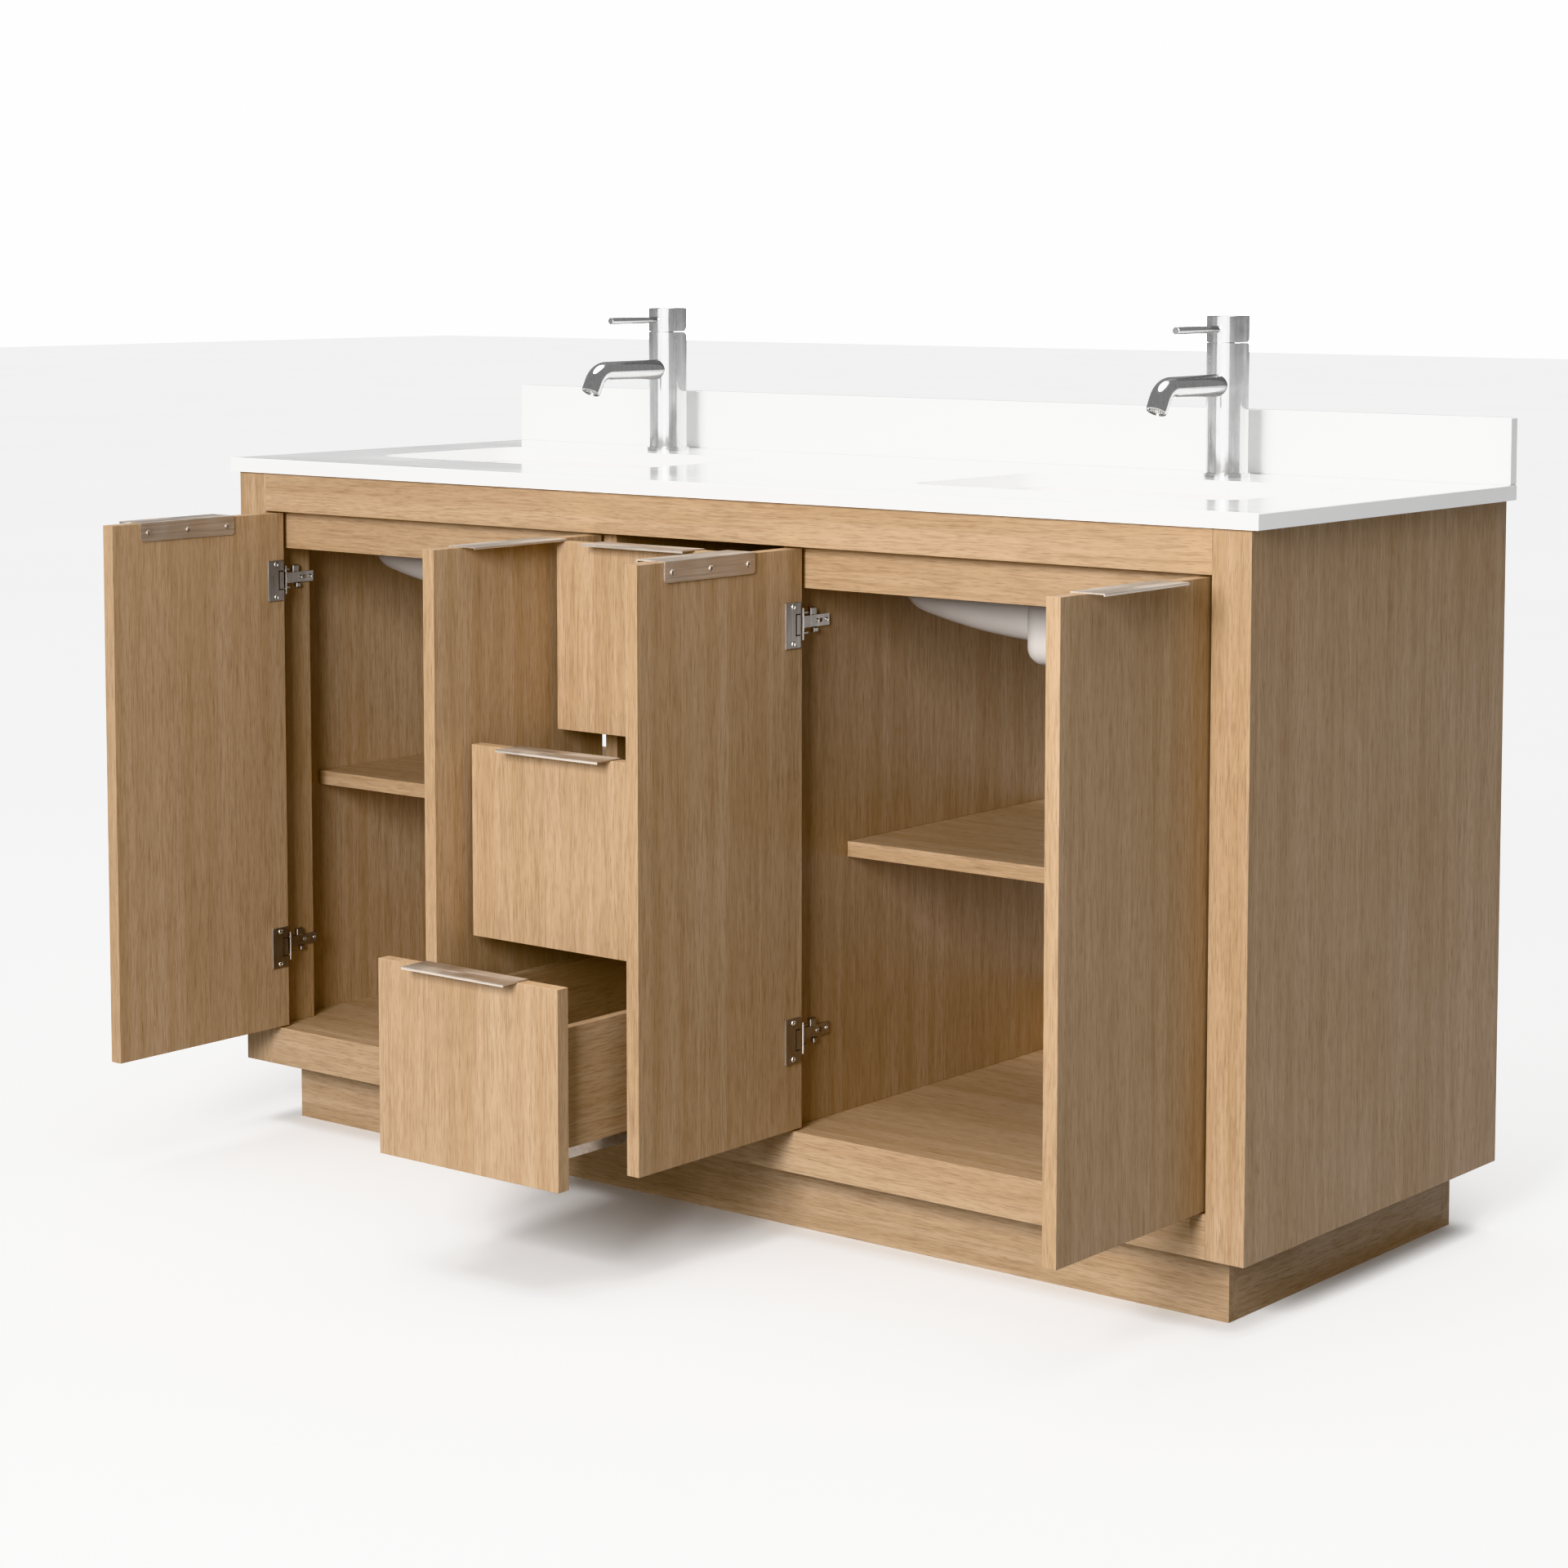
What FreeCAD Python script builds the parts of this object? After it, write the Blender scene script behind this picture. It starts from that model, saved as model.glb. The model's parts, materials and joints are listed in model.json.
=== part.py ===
import FreeCAD, Part

import math
import os
import re

import Sketcher

# A double bathroom vanity: a framed cabinet on a recessed plinth, two sink bays with inset doors, a bank of
# three drawers between them, a stone top with two undermount basins, a backsplash and two single-lever taps.
# Frame: X runs along the width, -Y is the front, Z = 0 is the floor, and the origin is at the plan centre.
# The rest pose has the doors open at a right angle and the drawers drawn out by different amounts.

DIMENSIONS = {
    # stone top and backsplash
    "top_wide": 1524.0, "top_deep": 558.8, "top_thick": 17.5, "top_level": 859.3, "top_arris": 1.5,
    "splash_high": 76.2, "splash_thick": 16.0,
    # carcass
    "case_wide": 1502.0, "case_inset": 6.0, "case_back_inset": 2.3, "case_low": 79.0,
    "panel": 18.0, "thin_panel": 9.0, "arris": 0.5,
    "stile_wide": 47.0, "frame_thick": 20.5, "top_rail_low": 793.0, "floor_level": 127.5,
    "divider_out": 144.0, "apron_low": 745.0, "filler_deep": 54.0, "back_rail_high": 100.0,
    # shelves
    "shelf_level": 444.0, "shelf_front": 94.0, "shelf_deep": 400.0, "shelf_gap": 1.0,
    # plinth
    "plinth_wide": 1407.0, "plinth_front_inset": 49.7, "plinth_back_inset": 19.0, "plinth_cross": 350.0,
    # doors
    "door_thick": 17.0, "reveal": 2.0, "side_reveal": 3.0, "divider_cover": 7.5,
    "outer_pivot_in": 5.8, "outer_pivot_deep": 6.2, "inner_pivot_in": 9.1, "inner_pivot_deep": 3.5,
    "hinge_from_low": 103.0, "hinge_from_high": 86.0,
    # hinges
    "cup_radius": 12.0, "cup_deep": 10.0, "cup_play": 0.2, "wing_wide": 27.0, "wing_high": 52.0,
    "wing_thick": 1.6, "wing_gap_outer": 1.5, "wing_gap_inner": 4.0,
    "arm_long": 55.0, "arm_high": 13.5, "arm_thick": 2.2, "ear_high": 25.0, "ear_thick": 2.0,
    "ear_deep": 11.0, "ear_out": 8.0, "ear_front": 3.2, "strip_start": 2.0,
    "arm_hole": 2.6, "arm_hole_in": 13.5, "drill_long": 30.0, "pin_radius": 1.5, "pin_play": 0.05,
    "pin_off_wall": 5.0, "pin_behind_frame": 4.5, "link_knuckle": 2.4, "link_thick": 1.6,
    "link_narrow": 19.0, "link_wide": 36.0, "link_neck": 6.0, "link_long_outer": 18.5,
    "link_long_inner": 14.5, "link_dip_outer": 34.0, "link_dip_inner": 46.0,
    # pulls
    "pull_long": 152.0, "pull_sheet": 1.5, "pull_reach": 22.0, "pull_plate": 22.5, "pull_lip": 1.5,
    "pull_from_free": 120.0, "pull_corner": 4.0, "pull_round": 1.2, "pull_hole": 1.6, "pull_hole_pitch": 64.0,
    # drawers
    "front_wide": 267.0, "front_high": 218.5, "box_wide": 242.0, "box_high": 130.0, "box_rise": 41.0,
    "box_long": 480.0, "box_side": 12.0, "box_floor": 6.0, "box_floor_rise": 10.0,
    "drawn_top": 75.0, "drawn_middle": 218.0, "drawn_bottom": 368.0,
    "runner_long": 490.0, "runner_wide": 14.0, "runner_high": 12.0, "rail_shelf": 22.0, "rail_sheet": 1.7,
    "rail_high": 31.0, "runner_play": 1.0, "runner_start": 8.0, "runner_side": 2.0, "runner_short": 30.0,
    # basins
    "basin_x": 428.0, "basin_wide": 436.0, "basin_deep": 271.0, "basin_front": 137.0, "basin_corner": 40.0,
    "rim_lap": 24.0, "rim_thick": 12.0, "rim_corner": 50.0, "bowl_wall": 9.0, "bowl_step": 2.0,
    "bowl_depth": 143.5, "bowl_rise": 36.0, "bowl_corner": 40.0, "bowl_round": 15.0,
    "drain_radius": 22.5, "seat_radius": 30.0, "seat_deep": 3.0, "boss_radius": 32.0, "boss_low": 190.5,
    "overflow_half": 37.0, "overflow_out": 12.0, "overflow_low": 175.0, "overflow_round": 20.0,
    "duct_half": 20.0, "duct_start": 100.0,
    # taps
    "tap_x": 431.7,
    "tap_back": 474.0, "tap_hole": 17.5, "tap_foot_radius": 28.0, "tap_foot_high": 5.0, "tap_radius": 25.0,
    "tap_split": 157.4, "tap_joint": 0.6, "tap_high": 188.2, "tap_bore": 18.0, "tap_bore_deep": 70.0,
    "spout_level": 107.5, "spout_root": 13.2, "spout_end": 12.6, "spout_straight": 123.0,
    "spout_bend": 25.0, "spout_turn": 62.0, "spout_drop": 15.0, "spout_recess": 3.0, "spout_skin": 1.4,
    "cap_wall": 3.5, "lever_root": 4.2, "lever_tip": 4.75, "lever_reach": 113.5, "lever_level": 172.5,
    "lever_round": 0.6, "lever_sunk": 1.0, "cap_round": 0.8,
    "tilt_back": 4.0, "tilt_notch": 28.0, "rest_notch": 22.0,
    "stem_radius": 8.0, "stem_high": 9.0, "stem_sunk": 4.0,
    "cartridge_play": 0.4, "shank_radius": 14.0, "shank_long": 62.0, "nut_radius": 24.0, "nut_high": 9.0,
    "nut_play": 0.1,
    # how far a cutting tool runs past what it cuts
    "over": 1.0,
}

doc = FreeCAD.newDocument("bathroom_vanity")
sheet = doc.addObject("Spreadsheet::Sheet", "Dims")
for row, (alias, value) in enumerate(DIMENSIONS.items(), start=1):
    sheet.set(f"A{row}", alias)
    sheet.set(f"B{row}", str(value))
    sheet.setAlias(f"B{row}", alias)
doc.recompute()

SUBPARTS = []          # the objects that are written as one STEP file each


# ---------------------------------------------------------------------------------------- helpers

def bound(text):
    """Turn an expression in bare alias names into one that reads the spreadsheet."""
    def swap(match):
        word = match.group(0)
        return f"Dims.{word}" if word in DIMENSIONS else word
    return re.sub(r"[a-z_]+", swap, str(text))


def bind(thing, prop, text):
    thing.setExpression(prop, bound(text))


def size(alias):
    """A dimension's number, for features whose shape is set by Part functions."""
    return float(getattr(sheet, alias))


def place(thing, x, y, z, turn=0.0):
    """Bind a thing's position, after a turn about Z in degrees."""
    thing.Placement = FreeCAD.Placement(FreeCAD.Vector(), FreeCAD.Rotation(FreeCAD.Vector(0, 0, 1), turn))
    for axis, text in zip("xyz", (x, y, z)):
        bind(thing, f"Placement.Base.{axis}", text)


def keep(thing, label):
    thing.Label = label
    SUBPARTS.append(thing)
    return thing


def origin_plane(body, role):
    return next(f for f in body.Origin.OriginFeatures if f.Role == role)


def new_body(name):
    return doc.addObject("PartDesign::Body", f"{name}_body")


def new_sketch(body, name, plane):
    sketch = body.newObject("Sketcher::SketchObject", name)
    sketch.AttachmentSupport = [(origin_plane(body, plane), "")]
    sketch.MapMode = "FlatFace"
    return sketch


def polygon(sketch, points):
    """Draw a closed outline whose corners are bound to (x, y) expressions."""
    count = len(points)
    first = len(sketch.Geometry)
    corners = [FreeCAD.Vector(math.cos(math.tau * i / count), math.sin(math.tau * i / count), 0)
               for i in range(count)]
    for i in range(count):
        sketch.addGeometry(Part.LineSegment(corners[i] * 10, corners[(i + 1) % count] * 10), False)
    for i in range(count):
        follower = first + (i + 1) % count
        sketch.addConstraint(Sketcher.Constraint("Coincident", first + i, 2, follower, 1))
    for i, (x, y) in enumerate(points):
        for kind, text in (("DistanceX", x), ("DistanceY", y)):
            index = sketch.addConstraint(Sketcher.Constraint(kind, -1, 1, first + i, 1, 1.0))
            bind(sketch, f"Constraints[{index}]", text)


def circle(sketch, x, y, radius):
    """Draw a circle whose centre and radius are bound to expressions."""
    index = sketch.addGeometry(Part.Circle(FreeCAD.Vector(1, 1, 0), FreeCAD.Vector(0, 0, 1), 1.0), False)
    for kind, text in (("DistanceX", x), ("DistanceY", y)):
        number = sketch.addConstraint(Sketcher.Constraint(kind, -1, 1, index, 3, 1.0))
        bind(sketch, f"Constraints[{number}]", text)
    number = sketch.addConstraint(Sketcher.Constraint("Radius", index, 1.0))
    bind(sketch, f"Constraints[{number}]", radius)


def rectangle(sketch, x, y):
    polygon(sketch, [(x[0], y[0]), (x[1], y[0]), (x[1], y[1]), (x[0], y[1])])


def pad(body, sketch, length, midplane=False):
    feature = body.newObject("PartDesign::Pad", f"{sketch.Name}_pad")
    feature.Profile = sketch
    bind(feature, "Length", length)
    feature.Midplane = midplane
    return feature


def cut(body, sketch, length, reverse):
    """Pocket a sketch into the body and check that it took material away."""
    doc.recompute()
    before = body.Shape.Volume
    feature = body.newObject("PartDesign::Pocket", f"{sketch.Name}_pocket")
    feature.Profile = sketch
    bind(feature, "Length", length)
    feature.Reversed = reverse
    doc.recompute()
    if body.Shape.Volume >= before:
        raise RuntimeError(f"{feature.Name} removes nothing")
    return feature


def fillet_edges(body, radius, wanted):
    """Round the edges of the body's last feature that the test picks."""
    doc.recompute()
    base = body.Tip
    names = [f"Edge{i}" for i, edge in enumerate(base.Shape.Edges, start=1) if wanted(edge)]
    feature = body.newObject("PartDesign::Fillet", f"{base.Name}_round")
    feature.Base = (base, names)
    bind(feature, "Radius", radius)
    return feature


def board(name, x, y, z, arris="arris"):
    """A board between two corners, with every edge slightly eased."""
    body = new_body(name)
    sketch = new_sketch(body, f"{name}_outline", "XY_Plane")
    rectangle(sketch, x, y)
    pad(body, sketch, f"({z[1]}) - ({z[0]})")
    place(body, 0, 0, z[0])
    fillet_edges(body, arris, lambda edge: True)
    return body


def block(name, x, y, z):
    """A plain box between two corners."""
    box = doc.addObject("Part::Box", name)
    bind(box, "Length", f"({x[1]}) - ({x[0]})")
    bind(box, "Width", f"({y[1]}) - ({y[0]})")
    bind(box, "Height", f"({z[1]}) - ({z[0]})")
    place(box, x[0], y[0], z[0])
    return box


def cylinder(name, radius, height, x, y, z):
    """An upright cylinder that stands on (x, y, z)."""
    round_bar = doc.addObject("Part::Cylinder", name)
    bind(round_bar, "Radius", radius)
    bind(round_bar, "Height", height)
    place(round_bar, x, y, z)
    return round_bar


def fuse(name, things):
    joined = doc.addObject("Part::MultiFuse", name)
    joined.Shapes = things
    return joined


def take_away(name, base, tool):
    result = doc.addObject("Part::Cut", name)
    result.Base = base
    result.Tool = tool
    return result


def group(label, things):
    """Several separate solids that make up one sub-part."""
    bundle = doc.addObject("Part::Compound", f"{label}_group")
    bundle.Links = things
    return keep(bundle, label)


def mirrored_pair(sign, low, high):
    """An X range on the right (sign 1) or its mirror image on the left (sign -1)."""
    return (low, high) if sign > 0 else (f"-({high})", f"-({low})")


# ------------------------------------------------------------------------------- named places

TOP_UNDER = "(top_level - top_thick)"
TOP_FRONT = "(-top_deep / 2)"
CASE_HALF = "(case_wide / 2)"
CASE_FRONT = "(-top_deep / 2 + case_inset)"
CASE_BACK = "(top_deep / 2 - case_back_inset)"
FRAME_BACK = "(-top_deep / 2 + case_inset + frame_thick)"
GABLE_IN = "(case_wide / 2 - panel)"
OPENING_EDGE = "(case_wide / 2 - stile_wide)"
DIVIDER_IN = "(divider_out - panel)"
DIVIDER_BACK = "(top_deep / 2 - case_back_inset - panel)"
FLOOR_UNDER = "(floor_level - panel)"

DOOR_LOW = "(floor_level + reveal)"
DOOR_HIGH = "(top_rail_low - reveal)"
DOOR_TALL = "(top_rail_low - floor_level - 2 * reveal)"
DOOR_INNER_EDGE = "(divider_out - divider_cover)"
DOOR_OUTER_EDGE = "(case_wide / 2 - stile_wide - side_reveal)"
DOOR_WIDE = f"(({DOOR_OUTER_EDGE} - {DOOR_INNER_EDGE} - side_reveal) / 2)"
DOOR_BACK = "(-top_deep / 2 + case_inset + door_thick)"

SIDES = {"left": -1, "right": 1}


# ---------------------------------------------------------------------------------- carcass

def make_carcass():
    for side, sign in SIDES.items():
        keep(board(f"gable_{side}", mirrored_pair(sign, GABLE_IN, CASE_HALF), (FRAME_BACK, CASE_BACK),
                   ("case_low", TOP_UNDER)), f"gable_{side}")
        keep(board(f"divider_{side}", mirrored_pair(sign, DIVIDER_IN, "divider_out"),
                   (FRAME_BACK, DIVIDER_BACK), ("floor_level", TOP_UNDER)), f"divider_{side}")
        keep(board(f"stile_{side}", mirrored_pair(sign, OPENING_EDGE, CASE_HALF),
                   (CASE_FRONT, FRAME_BACK), ("case_low", TOP_UNDER)), f"stile_{side}")
    opening = (f"-{OPENING_EDGE}", OPENING_EDGE)
    inside = (f"-{GABLE_IN}", GABLE_IN)
    keep(board("top_rail", opening, (CASE_FRONT, FRAME_BACK), ("top_rail_low", TOP_UNDER)), "top_rail")
    keep(board("bottom_rail", opening, (CASE_FRONT, FRAME_BACK), ("case_low", "floor_level")), "bottom_rail")
    keep(board("floor_panel", inside, (FRAME_BACK, DIVIDER_BACK), (FLOOR_UNDER, "floor_level")),
         "floor_panel")
    keep(board("drawer_bay_back", (f"-{DIVIDER_IN}", DIVIDER_IN),
               (f"{DIVIDER_BACK} - thin_panel", DIVIDER_BACK), ("floor_level", TOP_UNDER)),
         "drawer_bay_back")
    rails = [board("back_rail_upper", inside, (DIVIDER_BACK, CASE_BACK),
                   (f"{TOP_UNDER} - back_rail_high", TOP_UNDER)),
             board("back_rail_lower", inside, (DIVIDER_BACK, CASE_BACK),
                   (FLOOR_UNDER, f"{FLOOR_UNDER} + back_rail_high"))]
    group("back_rails", rails)
    aprons = []
    fillers = []
    for side, sign in SIDES.items():
        aprons.append(board(f"apron_{side}", mirrored_pair(sign, "divider_out", OPENING_EDGE),
                            (FRAME_BACK, f"{FRAME_BACK} + panel"), ("apron_low", TOP_UNDER)))
        fillers.append(board(f"filler_{side}", mirrored_pair(sign, OPENING_EDGE, GABLE_IN),
                             (FRAME_BACK, f"{FRAME_BACK} + filler_deep"), ("floor_level", TOP_UNDER)))
    group("apron_rails", aprons)
    group("hinge_fillers", fillers)
    for side, sign in SIDES.items():
        keep(board(f"shelf_{side}", mirrored_pair(sign, "divider_out + shelf_gap", f"{GABLE_IN} - shelf_gap"),
                   (f"{FRAME_BACK} + shelf_front", f"{FRAME_BACK} + shelf_front + shelf_deep"),
                   ("shelf_level - panel", "shelf_level")), f"shelf_{side}")


def make_plinth():
    half = "(plinth_wide / 2)"
    front = f"({CASE_FRONT} + plinth_front_inset)"
    back = f"({CASE_BACK} - plinth_back_inset)"
    height = ("0", FLOOR_UNDER)
    keep(board("plinth_front", (f"-{half}", half), (front, f"{front} + panel"), height), "plinth_front")
    keep(board("plinth_back", (f"-{half}", half), (f"{back} - panel", back), height), "plinth_back")
    run = (f"{front} + panel", f"{back} - panel")
    cross = []
    for sign in (-1, 1):
        cross.append(board(f"plinth_end_{len(cross)}", mirrored_pair(sign, f"{half} - panel", half),
                           run, height))
    for number, centre in enumerate(("-plinth_cross", "0", "plinth_cross")):
        cross.append(board(f"plinth_cross_{number}", (f"{centre} - panel / 2", f"{centre} + panel / 2"),
                           run, height))
    group("plinth_crosspieces", cross)


# ------------------------------------------------------------------------- top, backsplash, basins

def make_top():
    body = new_body("countertop")
    slab = new_sketch(body, "countertop_outline", "XY_Plane")
    rectangle(slab, ("-top_wide / 2", "top_wide / 2"), ("-top_deep / 2", "top_deep / 2"))
    pad(body, slab, "top_thick")
    half_thick = size("top_thick") / 2
    fillet_edges(body, "top_arris", lambda edge: edge.CenterOfMass.z > half_thick + 1)
    holes = new_sketch(body, "countertop_cutouts", "XY_Plane")
    for sign in (-1, 1):
        middle = f"({sign} * basin_x)"
        rectangle(holes, (f"{middle} - basin_wide / 2", f"{middle} + basin_wide / 2"),
                  ("-top_deep / 2 + basin_front", "-top_deep / 2 + basin_front + basin_deep"))
        circle(holes, f"({sign} * tap_x)", "-top_deep / 2 + tap_back", "tap_hole")
    cut(body, holes, "top_thick", True)
    reach_x = size("basin_x") + size("basin_wide") / 2 + 1
    reach_y = size("basin_front") + size("basin_deep") - size("top_deep") / 2 + 1
    upright = size("top_thick")

    def cutout_corner(edge):
        straight = edge.Curve.TypeId == "Part::GeomLine" and abs(edge.Length - upright) < 0.01
        return straight and abs(edge.CenterOfMass.x) < reach_x and edge.CenterOfMass.y < reach_y
    fillet_edges(body, "basin_corner", cutout_corner)
    place(body, 0, 0, TOP_UNDER)
    keep(body, "countertop")
    keep(board("backsplash", ("-top_wide / 2", "top_wide / 2"),
               ("top_deep / 2 - splash_thick", "top_deep / 2"),
               ("top_level", "top_level + splash_high"), "top_arris"), "backsplash")


def rounded_wire(width, depth, radius, level):
    """A rounded rectangle centred on the Z axis at one height."""
    a = width / 2 - radius
    b = depth / 2 - radius
    edges = []
    for cx, cy, start in ((a, b, 0), (-a, b, 90), (-a, -b, 180), (a, -b, 270)):
        centre = FreeCAD.Vector(cx, cy, level)
        arc = Part.Circle(centre, FreeCAD.Vector(0, 0, 1), radius)
        edges.append(Part.ArcOfCircle(arc, math.radians(start), math.radians(start + 90)).toShape())
    corners = []
    for i in range(4):
        corners.append(edges[i])
        tail = edges[i].valueAt(edges[i].LastParameter)
        head = edges[(i + 1) % 4].valueAt(edges[(i + 1) % 4].FirstParameter)
        corners.append(Part.LineSegment(tail, head).toShape())
    return Part.Wire(corners)


def bowl_solid(grow, top):
    """The bowl's form: upright sides with round corners, and a floor that falls in an arc to the middle."""
    half = size("basin_wide") / 2 + size("bowl_step") + grow
    deep = size("basin_deep") / 2 + size("bowl_step") + grow
    low = -size("bowl_depth") - grow
    high = low + size("bowl_rise")
    points = [FreeCAD.Vector(x, -deep, z) for x, z in
              ((-half, top), (-half, high), (0, low), (half, high), (half, top))]
    outline = Part.Wire([Part.LineSegment(points[0], points[1]).toShape(),
                         Part.Arc(points[1], points[2], points[3]).toShape(),
                         Part.LineSegment(points[3], points[4]).toShape(),
                         Part.LineSegment(points[4], points[0]).toShape()])
    solid = Part.Face(outline).extrude(FreeCAD.Vector(0, 2 * deep, 0))
    upright = [edge for edge in solid.Edges if edge.BoundBox.XLength < 0.01 and edge.BoundBox.YLength < 0.01]
    solid = solid.makeFillet(size("bowl_corner") + grow, upright)
    lower = [edge for edge in solid.Edges if edge.BoundBox.ZMax < high + 1]
    return solid.makeFillet(size("bowl_round") + grow, lower)


def overflow_solids():
    """The overflow's housing on the bowl's front wall, and its duct under the floor to the drain."""
    half = size("overflow_half")
    low = -size("overflow_low")
    wall_y = -size("basin_deep") / 2 - size("bowl_step") - size("bowl_wall")
    front = wall_y - size("overflow_out")
    back = -size("duct_start")
    housing = Part.makeBox(2 * half, back - front, -low - size("rim_thick") / 2,
                           FreeCAD.Vector(-half, front, low))
    outer = [edge for edge in housing.Edges if edge.CenterOfMass.z < low + 1
             or (edge.CenterOfMass.y < front + 1 and edge.BoundBox.XLength < 1)]
    housing = housing.makeFillet(size("overflow_round"), outer)
    narrow = size("duct_half")
    floor = -size("bowl_depth")
    duct = Part.makeBox(2 * narrow, -back + size("overflow_round"), floor - low,
                        FreeCAD.Vector(-narrow, back - size("overflow_round"), low))
    return [housing, duct]


def make_basins():
    for side, sign in SIDES.items():
        rim_wide = size("basin_wide") + 2 * size("rim_lap")
        rim_deep = size("basin_deep") + 2 * size("rim_lap")
        rim_thick = size("rim_thick")
        floor = -size("bowl_depth")
        boss_low = -size("boss_low")
        rim = Part.Face(rounded_wire(rim_wide, rim_deep, size("rim_corner"), -rim_thick)).extrude(
            FreeCAD.Vector(0, 0, rim_thick))
        boss = Part.makeCylinder(size("boss_radius"), floor - boss_low, FreeCAD.Vector(0, 0, boss_low))
        shell = bowl_solid(size("bowl_wall"), -rim_thick / 2).fuse([rim, boss] + overflow_solids())
        hollow = bowl_solid(0.0, size("over"))
        seat = Part.makeCylinder(size("seat_radius"), 2 * size("seat_deep"),
                                 FreeCAD.Vector(0, 0, floor - size("seat_deep")))
        drain = Part.makeCylinder(size("drain_radius"), floor - boss_low + size("over"),
                                  FreeCAD.Vector(0, 0, boss_low - size("over")))
        basin = doc.addObject("Part::Feature", f"basin_{side}")
        basin.Shape = shell.cut(hollow).cut(seat).cut(drain).removeSplitter()
        place(basin, f"{sign} * basin_x", "-top_deep / 2 + basin_front + basin_deep / 2", TOP_UNDER)
        keep(basin, f"basin_{side}")


# ------------------------------------------------------------------------------------------- pulls

def pull_body(name):
    """A bent sheet pull: plate behind the front, blade over its top edge, and a small turned-down lip."""
    body = new_body(name)
    profile = new_sketch(body, f"{name}_profile", "YZ_Plane")
    back = "(door_thick + pull_sheet)"
    lip_in = "(-pull_reach + pull_sheet)"
    polygon(profile, [("door_thick", "0"), (lip_in, "0"), (lip_in, "-pull_lip"), ("-pull_reach", "-pull_lip"),
                      ("-pull_reach", "pull_sheet"), (back, "pull_sheet"), (back, "-pull_plate"),
                      ("door_thick", "-pull_plate")])
    pad(body, profile, "pull_long", True)
    low = -size("pull_plate")
    short = 2 * size("pull_sheet")
    fillet_edges(body, "pull_corner",
                 lambda edge: abs(edge.CenterOfMass.z - low) < 0.01 and edge.Length < short)
    half = size("pull_long") / 2
    upper = size("pull_sheet")
    fillet_edges(body, "pull_round",
                 lambda edge: edge.Length > 2 * half - 1 and abs(edge.CenterOfMass.z - upper) < 0.01)
    holes = new_sketch(body, f"{name}_holes", "XZ_Plane")
    for step in (-1, 0, 1):
        circle(holes, f"{step} * pull_hole_pitch", "-pull_plate / 2", "pull_hole")
    cut(body, holes, f"{back} + over", False)
    return body


# ------------------------------------------------------------------------------------------- doors

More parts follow.
